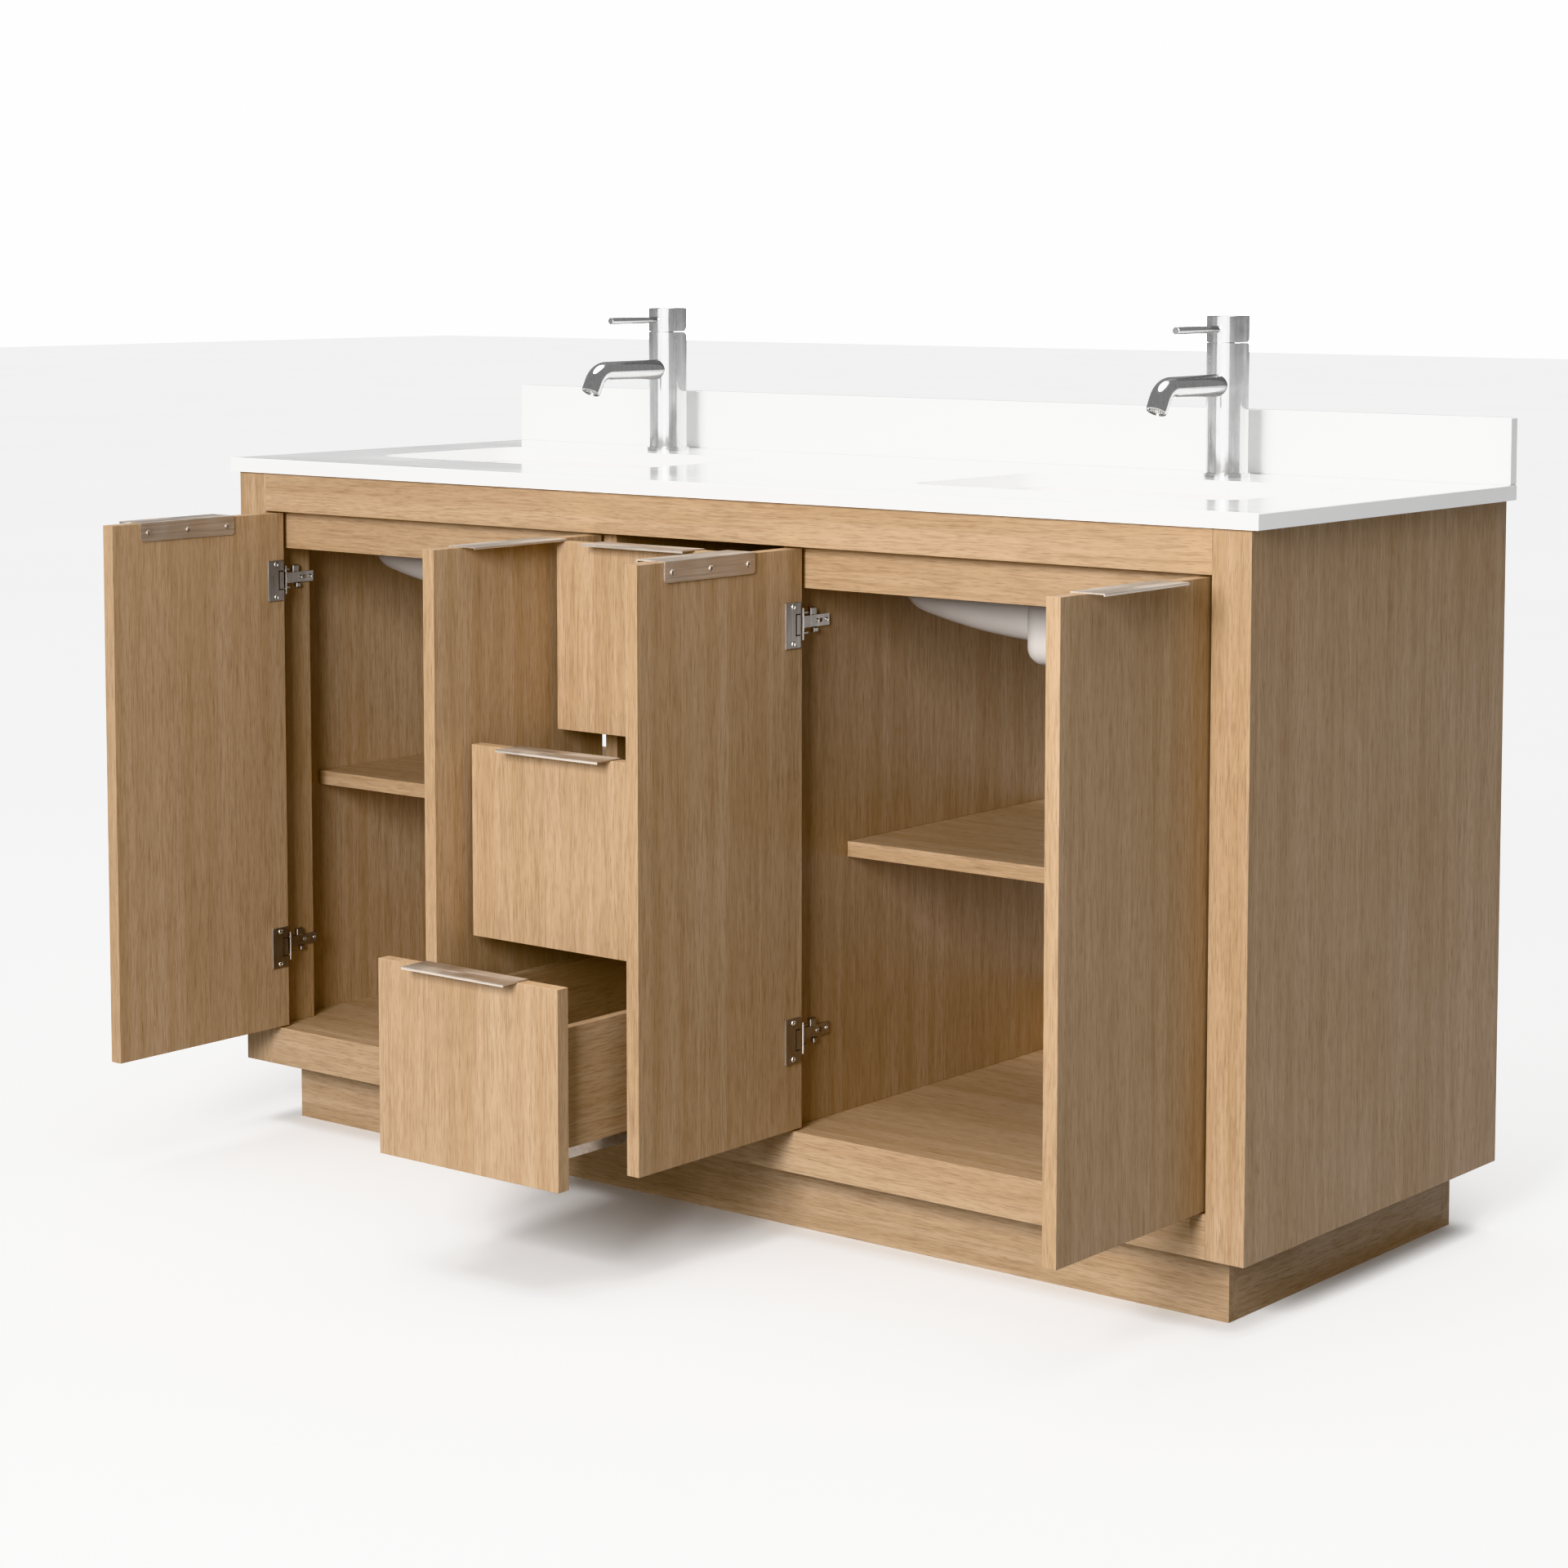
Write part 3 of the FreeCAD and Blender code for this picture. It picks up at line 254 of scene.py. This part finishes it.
def brushed(name, colour, axis, rough, contrast=1.0):
    """Brushed metal: fine scratches along one axis, dull fingerprints and lighter rubbed patches."""
    finish = Finish(name)
    scratches = finish.noise(finish.stretched(along(axis, 2600.0, 60.0)), detail=2.0, rough=0.65)
    streaks = finish.noise(finish.stretched(along(axis, 420.0, 9.0)), detail=2.0)
    prints = finish.noise(finish.stretched((38.0, 38.0, 38.0)), detail=3.0)
    darker = tuple(channel * (1 - 0.20 * contrast) for channel in colour)
    lighter = tuple(min(1.0, channel * (1 + 0.12 * contrast)) for channel in colour)
    tone = finish.mix(finish.remap(streaks, 0.3, 0.7), darker, lighter)
    tone = finish.mix(finish.remap(scratches, 0.45, 0.75, 0.0, 0.45), tone, darker)
    finish.to_shader(tone, "Base Color")
    value = finish.remap(prints, 0.35, 0.70, rough - 0.03, rough + 0.07)
    value = finish.maths("ADD", value, finish.remap(scratches, 0.3, 0.7, -0.04, 0.04))
    finish.to_shader(value, "Roughness")
    finish.to_shader(finish.bump(scratches, 0.22 * contrast, 0.0001), "Normal")
    finish.set(Metallic=1.0, Anisotropic=0.35)
    return finish.material


def plated(name, colour, rough):
    """Zinc plate: a soft spangle, with dull patches where it has been rubbed."""
    finish = Finish(name)
    spangle = finish.noise(finish.stretched((160.0, 160.0, 160.0)), detail=2.0)
    rubbed = finish.noise(finish.stretched((20.0, 5.0, 20.0)), detail=3.0)
    darker = tuple(channel * 0.82 for channel in colour)
    finish.to_shader(finish.mix(finish.remap(spangle, 0.35, 0.65), darker, colour), "Base Color")
    finish.to_shader(finish.remap(rubbed, 0.3, 0.7, rough, rough + 0.14), "Roughness")
    finish.to_shader(finish.bump(spangle, 0.06, 0.0002), "Normal")
    finish.set(Metallic=1.0)
    return finish.material


def moulded(name, colour, rough=0.45):
    """Moulded plastic with a fine texture."""
    finish = Finish(name)
    texture = finish.noise(finish.stretched((1400.0, 1400.0, 1400.0)), detail=1.0)
    flow = finish.noise(finish.stretched((30.0, 30.0, 30.0)), detail=2.0)
    paler = tuple(channel * 1.25 for channel in colour)
    finish.to_shader(finish.mix(finish.remap(flow, 0.3, 0.7), colour, paler), "Base Color")
    finish.to_shader(finish.remap(texture, 0.3, 0.7, rough - 0.05, rough + 0.08), "Roughness")
    finish.to_shader(finish.bump(texture, 0.12, 0.0001), "Normal")
    return finish.material


def dress(name, *materials):
    """Give a CAD node its materials, in the order that its faces' indices count them."""
    mesh = NODES[name].data
    mesh.materials.clear()
    for material in materials:
        mesh.materials.append(material)


GRAIN = {"x": 0, "y": 1, "z": 2}
BOX_SEED = 44          # keeps the drawer boxes' grain apart from the other boards'
FACING = 0.7           # how squarely a face must look to the front or back to be an end board's
OAK_NODES = {
    "gable_left": "z", "gable_right": "z", "divider_left": "z", "divider_right": "z",
    "stile_left": "z", "stile_right": "z", "top_rail": "x", "bottom_rail": "x", "floor_panel": "x",
    "drawer_bay_back": "z", "back_rails": "x", "apron_rails": "x", "hinge_fillers": "z",
    "shelf_left": "x", "shelf_right": "x", "plinth_front": "x", "plinth_back": "x", "plinth_crosspieces": "y",
}
for door in DOORS:
    OAK_NODES[f"door_{door}_panel"] = "z"
for drawer in DRAWERS:
    OAK_NODES[f"drawer_{drawer}_front"] = "z"
for seed, (node, grain) in enumerate(OAK_NODES.items(), start=1):
    dress(node, oak(f"oak_{node}", GRAIN[grain], seed))
for drawer in DRAWERS:
    box_node = f"drawer_{drawer}_box"
    dress(box_node, oak(f"oak_{box_node}_sides", GRAIN["y"], BOX_SEED + drawer),
          oak(f"oak_{box_node}_ends", GRAIN["x"], BOX_SEED - drawer))
    for polygon in NODES[box_node].data.polygons:
        polygon.material_index = int(abs(polygon.normal.y) > FACING)

STONE = stone()
dress("countertop", STONE)
dress("backsplash", STONE)
CERAMIC = ceramic()
UNGLAZED_PAINTED_SHADE = unglazed_with_painted_shade()
for side in SIDES:
    node = NODES[f"basin_{side}"]
    dress(node.name, CERAMIC, UNGLAZED_PAINTED_SHADE)
    low, high = box(node.name)
    heart = (low + high) / 2
    # outward faces take the unglazed finish, whose grey is partly painted shade under the stone
    for polygon in node.data.polygons:
        polygon.material_index = int((polygon.center - heart).dot(polygon.normal) > 0)

NICKEL = (0.54, 0.475, 0.41)
NICKEL_X = brushed("brushed_nickel_x", NICKEL, 0, 0.44)
NICKEL_Y = brushed("brushed_nickel_y", NICKEL, 1, 0.44)
NICKEL_Z = brushed("brushed_nickel_z", (0.42, 0.39, 0.36), 2, 0.32)
for door in DOORS:
    dress(f"door_{door}_pull", NICKEL_Y)
    dress(f"door_{door}_hinge_cups", NICKEL_Z)
    dress(f"door_{door}_hinge_links", NICKEL_Z)
for drawer in DRAWERS:
    dress(f"drawer_{drawer}_pull", NICKEL_X)
dress("hinge_arms", NICKEL_Z)

TAP_STEEL = brushed("tap_steel", (0.58, 0.58, 0.58), 2, 0.11, 0.5)
for side in SIDES:
    dress(f"tap_{side}_body", TAP_STEEL)
    dress(f"tap_{side}_handle", TAP_STEEL)
    dress(f"tap_{side}_cartridge", moulded("cartridge_plastic", (0.030, 0.030, 0.034)))

ZINC = plated("zinc_plate", (0.62, 0.63, 0.64), 0.30)
dress("drawer_runner_rails", ZINC)
for drawer in DRAWERS:
    dress(f"drawer_{drawer}_runners", ZINC)
dress("tap_fixings", plated("brass_fixing", (0.72, 0.52, 0.24), 0.28))

SCREW_STEEL = brushed("screw_steel", (0.74, 0.73, 0.71), 0, 0.22, 0.5)
NICKEL_SCREW = brushed("nickel_screw", (0.50, 0.45, 0.40), 0, 0.36, 0.6)
# near-black plates that stand as painted shade in the hinge slits, the link slots and behind the aerators
PAINTED_SHADE_PLATE = moulded("painted_shade_slot", (0.018, 0.016, 0.015), 0.6)
PIN_STEEL = plated("pin_steel", (0.66, 0.66, 0.66), 0.26)


# ------------------------------------------------------------------------------------ small fittings

def turned(normal, centre, spin=0.0):
    """A matrix that takes local Z to the normal and the origin to the centre."""
    facing = Vector(normal).normalized().to_track_quat("Z", "Y").to_matrix().to_4x4()
    return Matrix.Translation(centre) @ facing @ Matrix.Rotation(spin, 4, "Z")


def rings(mesh, matrix, loops, steps, cap_first=True, cap_last=True):
    """Skin a stack of closed loops; each loop is a function of the angle that gives (radius, height)."""
    rows = []
    for loop in loops:
        row = []
        for step in range(steps):
            angle = math.tau * step / steps
            radius, height = loop(angle)
            spot = Vector((radius * math.cos(angle), radius * math.sin(angle), height))
            row.append(mesh.verts.new(matrix @ spot))
        rows.append(row)
    for low, high in zip(rows, rows[1:]):
        for step in range(steps):
            after = (step + 1) % steps
            mesh.faces.new((low[step], low[after], high[after], high[step]))
    if cap_first:
        mesh.faces.new(list(reversed(rows[0])))
    if cap_last:
        mesh.faces.new(rows[-1])


def ring(radius, height):
    return lambda angle: (radius, height)


def screw(mesh, centre, normal, radius, height, spin=0.4):
    """A pan-head screw with a cross recess, sitting on a surface."""
    depth = 0.55 * height

    def cross(level, scale):
        def at(angle):
            lobe = abs(math.cos(2 * angle)) ** 3
            return (radius * scale * (0.16 + 0.34 * lobe), level)
        return at
    stack = [ring(radius, 0.0), ring(radius, 0.30 * height), ring(0.90 * radius, 0.72 * height),
             ring(0.68 * radius, 0.95 * height), cross(height, 1.0), cross(height - depth, 0.8)]
    rings(mesh, turned(normal, centre, spin), stack, 32)


def plate(mesh, corners, thickness):
    """A thin prism on a closed list of corners, built along their common normal."""
    normal = (corners[1] - corners[0]).cross(corners[2] - corners[0]).normalized()
    lower = [mesh.verts.new(corner) for corner in corners]
    upper = [mesh.verts.new(corner + normal * thickness) for corner in corners]
    mesh.faces.new(list(reversed(lower)))
    mesh.faces.new(upper)
    for index in range(len(corners)):
        after = (index + 1) % len(corners)
        mesh.faces.new((lower[index], lower[after], upper[after], upper[index]))


def piece(name, mesh, material, body, smooth=True):
    """Turn a bmesh into an object that rides on a body and takes its finish from a slot."""
    bmesh.ops.recalc_face_normals(mesh, faces=mesh.faces)
    data = bpy.data.meshes.new(name)
    mesh.to_mesh(data)
    mesh.free()
    data.materials.append(material)
    made = bpy.data.objects.new(name, data)
    bpy.context.scene.collection.objects.link(made)
    if smooth:
        data.shade_smooth()
        data.set_sharp_from_angle(angle=math.radians(35))
    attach(made, body)


PULL_SCREW_PITCH = 64 * MM
PULL_SCREW_DROP = 12.75 * MM      # from the top of the pull's blade to its screws
PULL_SCREW_RADIUS = 3.6 * MM
PULL_SCREW_HIGH = 1.9 * MM
SCREW_SPIN = 0.4                  # radians; each recess in a row is turned a step further than the last
SCREW_SPIN_STEP = 0.7


def pull_screws():
    """Three pan-head screws through the plate of each pull."""
    for door, inner in DOORS.items():
        low, high = box(f"door_{door}_pull")
        face = high.x if inner > 0 else low.x
        middle = (low.y + high.y) / 2
        mesh = bmesh.new()
        for step in (-1, 0, 1):
            centre = Vector((face, middle + step * PULL_SCREW_PITCH, high.z - PULL_SCREW_DROP))
            screw(mesh, centre, X * inner, PULL_SCREW_RADIUS, PULL_SCREW_HIGH,
                  SCREW_SPIN + SCREW_SPIN_STEP * step)
        piece(f"door_{door}_pull_screws", mesh, NICKEL_SCREW, f"door_{door}")
    for drawer in DRAWERS:
        low, high = box(f"drawer_{drawer}_pull")
        mesh = bmesh.new()
        for step in (-1, 0, 1):
            centre = Vector((step * PULL_SCREW_PITCH, high.y, high.z - PULL_SCREW_DROP))
            screw(mesh, centre, Y, PULL_SCREW_RADIUS, PULL_SCREW_HIGH,
                  SCREW_SPIN + SCREW_SPIN_STEP * step)
        piece(f"drawer_{drawer}_pull_screws", mesh, NICKEL_SCREW, f"drawer_{drawer}")


WING_HIGH = 52 * MM
WING_SCREW_PITCH = 42 * MM
WING_SCREW_RADIUS = 3.2 * MM
WING_SCREW_HIGH = 1.2 * MM
WING_SCREW_SPIN = 0.3
SLIT_WIDE = 1.4 * MM
SLIT_PROUD = 0.15 * MM
TAB_NEAR = 9.0 * MM               # the inner tab's slit, from the wing's cabinet-side edge
TAB_FAR = 1.0 * MM
TAB_HALF = 12.5 * MM


def hinge_levels(door):
    """The middle heights of a door's lower and upper hinge."""
    low, high = box(f"door_{door}_hinge_cups")
    return low.z + WING_HIGH / 2, high.z - WING_HIGH / 2


def wing_details():
    """Two screws on each hinge wing, and a thin near-black plate as painted shade in the slit where its inner
    link comes through.
    """
    for door, inner in DOORS.items():
        low, high = box(f"door_{door}_hinge_cups")
        face = high.x if inner > 0 else low.x
        screws = bmesh.new()
        slit_shades = bmesh.new()
        middle = (low.y + high.y) / 2
        for level in hinge_levels(door):
            for step in (-0.5, 0.5):
                centre = Vector((face, middle, level + step * WING_SCREW_PITCH))
                screw(screws, centre, X * inner, WING_SCREW_RADIUS, WING_SCREW_HIGH, WING_SCREW_SPIN + step)
            near_edge = high.y - TAB_NEAR
            far_edge = high.y - TAB_FAR
            # each slit is a near-black plate just proud of the wing: painted shade
            bars = (
                (near_edge, near_edge + SLIT_WIDE, -TAB_HALF, TAB_HALF),
                (near_edge, far_edge, TAB_HALF - SLIT_WIDE, TAB_HALF),
                (near_edge, far_edge, -TAB_HALF, SLIT_WIDE - TAB_HALF),
            )
            for near, far, lower, upper in bars:
                corners = [Vector((face, near, level + lower)), Vector((face, far, level + lower)),
                           Vector((face, far, level + upper)), Vector((face, near, level + upper))]
                if inner < 0:
                    corners.reverse()
                plate(slit_shades, corners, SLIT_PROUD)
        piece(f"door_{door}_wing_screws", screws, SCREW_STEEL, f"door_{door}")
        piece(f"door_{door}_wing_slit_shades", slit_shades, PAINTED_SHADE_PLATE, f"door_{door}", False)


PIN_OFF_WALL = 5.0 * MM
ARM_THICK = 2.2 * MM
ARM_SCREW_RADIUS = 2.4 * MM
ARM_SCREW_HIGH = 1.1 * MM
ARM_SCREWS_IN = (5.0 * MM, 22.0 * MM)      # from the arm's end to its two screws
CLIPS = (                          # each clip's near and far end from the arm's end, and its levels, in mm
    (26.5, 37.5, 7.2, 16.0),
    (23.5, 31.5, -12.8, -7.2),
)
CLIP_OUT = 5.0 * MM
CLIP_ROUND = 0.8 * MM


def clip(mesh, inner, near, far, low, high, root):
    """A pressed clip on the arm: a block whose free face is drawn in all round."""
    corners = []
    for out, draw in ((0.0, 0.0), (CLIP_OUT - CLIP_ROUND, 0.0), (CLIP_OUT, CLIP_ROUND)):
        x = root + inner * out
        sides = (near + draw, far - draw)
        levels = (low + draw, high - draw)
        outline = [(sides[0], levels[0]), (sides[1], levels[0]), (sides[1], levels[1]), (sides[0], levels[1])]
        corners.append([mesh.verts.new((x, y, z)) for y, z in outline])
    for first, second in zip(corners, corners[1:]):
        for index in range(4):
            after = (index + 1) % 4
            mesh.faces.new((first[index], first[after], second[after], second[index]))
    mesh.faces.new(corners[0])
    mesh.faces.new(corners[-1])


def arm_details():
    """Two screws on each fixed arm, beside the hole in its strip, and the clips above and below the strip."""
    arm_end = box("hinge_arms")[1].y
    screws = bmesh.new()
    clips = bmesh.new()
    for door, inner in DOORS.items():
        pin = Vector(JOINTS[f"door_{door}_link_swing"]["pos_m"])
        wall = pin.x - inner * PIN_OFF_WALL
        for level in hinge_levels(door):
            for inset in ARM_SCREWS_IN:
                centre = Vector((wall + inner * ARM_THICK, arm_end - inset, level))
                # the inset in millimetres serves as the spin too, so that the two recesses differ
                screw(screws, centre, X * inner, ARM_SCREW_RADIUS, ARM_SCREW_HIGH, inset / MM)
            for near, far, lower, upper in CLIPS:
                clip(clips, inner, arm_end - far * MM, arm_end - near * MM,
                     level + lower * MM, level + upper * MM, wall)
    piece("hinge_arm_screws", screws, SCREW_STEEL, "cabinet")
    piece("hinge_arm_clips", clips, NICKEL_Z, "cabinet", False)


SLOT_NEAR = 8.5 * MM              # the link's slot, from its door end
SLOT_FAR = 4.0 * MM
SLOT_HALF = 6.5 * MM
RIVET_IN = 3.2 * MM
RIVET_UP = 11.5 * MM
RIVET_RADIUS = 1.6 * MM
RIVET_HIGH = 0.7 * MM
LINK_THICK = 1.6 * MM
TIP_SHARE = 0.97                  # vertices further out than this share of the reach are the link's tip


def link_details():
    """A near-black plate as painted shade for the slot in the plate of each swinging link, with two rivets
    near its door end.
    """
    for door, inner in DOORS.items():
        body = f"door_{door}_links"
        pin = Vector(JOINTS[f"door_{door}_link_swing"]["pos_m"])
        vertices = NODES[f"door_{door}_hinge_links"].data.vertices
        flat = [Vector((v.co.x - pin.x, v.co.y - pin.y, 0)) for v in vertices]
        reach = max(v.length for v in flat)
        tips = [v for v in flat if v.length > TIP_SHARE * reach]
        heading = sum(tips, Vector()).normalized()
        outward = heading.cross(Z) * -inner
        slot_shades = bmesh.new()
        rivets = bmesh.new()
        for level in hinge_levels(door):
            base = Vector((pin.x, pin.y, level))
            for face in (outward, -outward):
                start = base + heading * (reach - SLOT_NEAR) + face * LINK_THICK / 2
                end = base + heading * (reach - SLOT_FAR) + face * LINK_THICK / 2
                half = Z * SLOT_HALF
                corners = [start - half, end - half, end + half, start + half]
                if (corners[1] - corners[0]).cross(corners[2] - corners[0]).dot(face) < 0:
                    corners.reverse()
                # the slot is a near-black plate on the link's face: painted shade
                plate(slot_shades, corners, SLIT_PROUD)
                for step in (-1, 1):
                    centre = base + heading * (reach - RIVET_IN) + face * LINK_THICK / 2 + Z * step * RIVET_UP
                    screw(rivets, centre, face, RIVET_RADIUS, RIVET_HIGH)
        piece(f"door_{door}_link_slot_shades", slot_shades, PAINTED_SHADE_PLATE, body, False)
        piece(f"door_{door}_link_rivets", rivets, SCREW_STEEL, body)


SPOUT_TURN = math.radians(62)
AERATOR_RADIUS = 10.4 * MM
AERATOR_SUNK = 1.3 * MM
AERATOR_WALL = 1.1 * MM
AERATOR_LIP = 0.3 * MM            # how far the rim stands above the comb
COMB_DEEP = 0.9 * MM
# depths of the near-black disc behind the comb, painted shade inside the spout
SHADE_DISC_DEEP = 1.5 * MM
SHADE_DISC_FACE = 1.0 * MM
HUB_RADIUS = 2.0 * MM             # the bright middle, and its smaller raised face
HUB_RISE = 0.1 * MM
HUB_TOP_RADIUS = 1.2 * MM
HUB_TOP = 0.5 * MM
HUB_CLEAR = 2.2 * MM              # how far a cell's centre stays from the middle
RIM_CLEAR = 1.6 * MM              # and from the rim's outside
CELL = 1.5 * MM
CELL_HOLE = 0.72                  # a cell's hole, as a share of the cell
CELL_SPAN = range(-5, 6)          # the rows and columns that are tried
SPOUT_CLEAR = 50 * MM             # the spout's mouth is at least this far above the stone top
MOUTH_DEEP = 0.2 * MM


def aerators():
    """A honeycomb aerator in the mouth of each spout, with a bright middle and a near-black disc behind it as
    painted shade inside the spout.
    """
    heading = Vector((0, -math.cos(SPOUT_TURN), -math.sin(SPOUT_TURN)))
    for side in SIDES:
        corners = [v.co for v in NODES[f"tap_{side}_body"].data.vertices]
        above = [co for co in corners if co.z > box("countertop")[1].z + SPOUT_CLEAR]
        furthest = max(co.dot(heading) for co in above)
        mouth = [co for co in above if co.dot(heading) > furthest - MOUTH_DEEP]
        centre = Vector([(min(co[i] for co in mouth) + max(co[i] for co in mouth)) / 2 for i in range(3)])
        matrix = turned(heading, centre - heading * AERATOR_SUNK)
        comb = bmesh.new()
        bore = AERATOR_RADIUS - AERATOR_WALL
        rim = [ring(AERATOR_RADIUS, -COMB_DEEP), ring(AERATOR_RADIUS, AERATOR_LIP),
               ring(bore, AERATOR_LIP), ring(bore, -COMB_DEEP)]
        rings(comb, matrix, rim, 48, False, False)
        hub = [ring(HUB_RADIUS, -COMB_DEEP), ring(HUB_RADIUS, HUB_RISE), ring(HUB_TOP_RADIUS, HUB_TOP)]
        rings(comb, matrix, hub, 24)
        cell = [ring(CELL, -COMB_DEEP), ring(CELL, 0.0),
                ring(CELL_HOLE * CELL, 0.0), ring(CELL_HOLE * CELL, -COMB_DEEP)]
        step = CELL * math.sqrt(3)
        for row in CELL_SPAN:
            for column in CELL_SPAN:
                x = step * (column + 0.5 * (row % 2))
                y = 1.5 * CELL * row
                out = math.hypot(x, y)
                if HUB_CLEAR < out < AERATOR_RADIUS - RIM_CLEAR:
                    spot = matrix @ Matrix.Translation((x, y, 0)) @ Matrix.Rotation(math.radians(30), 4, "Z")
                    rings(comb, spot, cell, 6, False, False)
        piece(f"tap_{side}_aerator", comb, SCREW_STEEL, "cabinet", False)
        # a near-black disc behind the comb: painted shade inside the spout
        painted_shade_disc = bmesh.new()
        rings(painted_shade_disc, matrix, [ring(AERATOR_RADIUS, -SHADE_DISC_DEEP), ring(AERATOR_RADIUS, -SHADE_DISC_FACE)], 48)
        piece(f"tap_{side}_aerator_painted_shade_disc", painted_shade_disc, PAINTED_SHADE_PLATE, "cabinet", False)


PIN_RADIUS = 2.5 * MM
PIN_LONG = 9 * MM
PIN_IN = 45 * MM
PIN_COLLAR = 0.8 * MM             # the collar's width beyond the pin, and its thickness
PIN_COLLAR_DEEP = 1.0 * MM
PIN_CHAMFER = 0.6 * MM
PIN_DROP = 0.4 * MM               # the gap between the pin and the shelf above it
SHELF_GAP = 1.0 * MM              # from the shelf's end to the wall beside it


def shelf_pins():
    """Four round pins under each shelf, standing out of the gable and the divider."""
    for side in SIDES:
        low, high = box(f"shelf_{side}")
        walls = (low.x - SHELF_GAP, high.x + SHELF_GAP)
        mesh = bmesh.new()
        for wall, way in zip(walls, (1, -1)):
            for y in (low.y + PIN_IN, high.y - PIN_IN):
                matrix = turned(X * way, Vector((wall, y, low.z - PIN_RADIUS - PIN_DROP)))
                stack = [ring(PIN_RADIUS + PIN_COLLAR, 0.0), ring(PIN_RADIUS + PIN_COLLAR, PIN_COLLAR_DEEP),
                         ring(PIN_RADIUS, PIN_COLLAR_DEEP), ring(PIN_RADIUS, PIN_LONG - PIN_CHAMFER),
                         ring(PIN_RADIUS - PIN_CHAMFER, PIN_LONG)]
                rings(mesh, matrix, stack, 24)
        piece(f"shelf_{side}_pins", mesh, PIN_STEEL, "cabinet")


pull_screws()
wing_details()
arm_details()
link_details()
aerators()
shelf_pins()


# ------------------------------------------------------------------------------ floor, light, camera

FLOOR_HALF = 30.0
FLOOR_THICK = 0.02
FLOOR_DARK = (0.92, 0.92, 0.92)
FLOOR_PALE = (0.95, 0.95, 0.95)


def pale_floor():
    """A wide pale floor under the part, which throws no diffuse light back up at it."""
    mesh = bmesh.new()
    signs = ((-1, -1), (1, -1), (1, 1), (-1, 1))
    corners = [Vector((x * FLOOR_HALF, y * FLOOR_HALF, -FLOOR_THICK)) for x, y in signs]
    plate(mesh, corners, FLOOR_THICK)
    data = bpy.data.meshes.new("floor")
    mesh.to_mesh(data)
    mesh.free()
    finish = Finish("pale_floor")
    mottle = finish.noise(finish.stretched((0.8, 0.8, 0.8)), detail=2.0)
    finish.to_shader(finish.mix(finish.remap(mottle, 0.3, 0.7), FLOOR_DARK, FLOOR_PALE), "Base Color")
    finish.set(Roughness=0.8, Specular_IOR_Level=0.2)
    data.materials.append(finish.material)
    floor = bpy.data.objects.new("floor", data)
    bpy.context.scene.collection.objects.link(floor)
    floor.visible_diffuse = False


def softbox(name, place, aim, width, height, watts):
    """A rectangular light at a place, turned to face its aim."""
    light = bpy.data.lights.new(name, "AREA")
    light.shape = "RECTANGLE"
    light.size = width
    light.size_y = height
    light.energy = watts
    lamp = bpy.data.objects.new(name, light)
    lamp.location = place
    lamp.rotation_euler = (Vector(aim) - Vector(place)).to_track_quat("-Z", "Y").to_euler()
    bpy.context.scene.collection.objects.link(lamp)
    return lamp


def overhead(name, strength, spread):
    """An even, very soft light from straight above."""
    light = bpy.data.lights.new(name, "SUN")
    light.energy = strength
    light.angle = math.radians(spread)
    lamp = bpy.data.objects.new(name, light)
    bpy.context.scene.collection.objects.link(lamp)


def world(seen, cast, mirrored):
    """A white surround: how bright it looks, how much light it casts, and how bright it is in reflections."""
    made = bpy.data.worlds.new("studio")
    made.use_nodes = True
    tree = made.node_tree
    back = tree.nodes["Background"]
    back.inputs["Color"].default_value = (1.0, 1.0, 1.0, 1.0)
    path = tree.nodes.new("ShaderNodeLightPath")
    glossy = tree.nodes.new("ShaderNodeMapRange")
    glossy.inputs["To Min"].default_value = cast
    glossy.inputs["To Max"].default_value = mirrored
    tree.links.new(path.outputs["Is Glossy Ray"], glossy.inputs["Value"])
    direct = tree.nodes.new("ShaderNodeMapRange")
    direct.inputs["To Max"].default_value = seen
    tree.links.new(path.outputs["Is Camera Ray"], direct.inputs["Value"])
    tree.links.new(glossy.outputs[0], direct.inputs["To Min"])
    tree.links.new(direct.outputs[0], back.inputs["Strength"])
    bpy.context.scene.world = made


pale_floor()
world(seen=8.0, cast=0.33, mirrored=0.40)
softbox("key", place=(1.25, -4.4, 2.1), aim=(0.0, 0.0, 0.5), width=1.5, height=1.8, watts=300)
glow = softbox("glow", place=(0.65, -4.45, 1.5), aim=(-0.2, 0.2, 1.0), width=6.2, height=2.0, watts=55)
glow.visible_diffuse = False         # it shows in reflections, and adds no diffuse light
overhead("sky", strength=2.7, spread=50)

camera_data = bpy.data.cameras.new("camera")
camera_data.lens = 80.34
camera_data.sensor_width = 36.0
camera_data.shift_x = 0.0036
camera_data.shift_y = -0.1506
camera = bpy.data.objects.new("camera", camera_data)
camera.location = (2.5964, -3.3162, 1.1241)
camera.rotation_euler = (math.radians(85.13), 0.0, math.radians(38.97))
bpy.context.scene.collection.objects.link(camera)
bpy.context.scene.camera = camera
bpy.context.scene.view_settings.view_transform = "Khronos PBR Neutral"
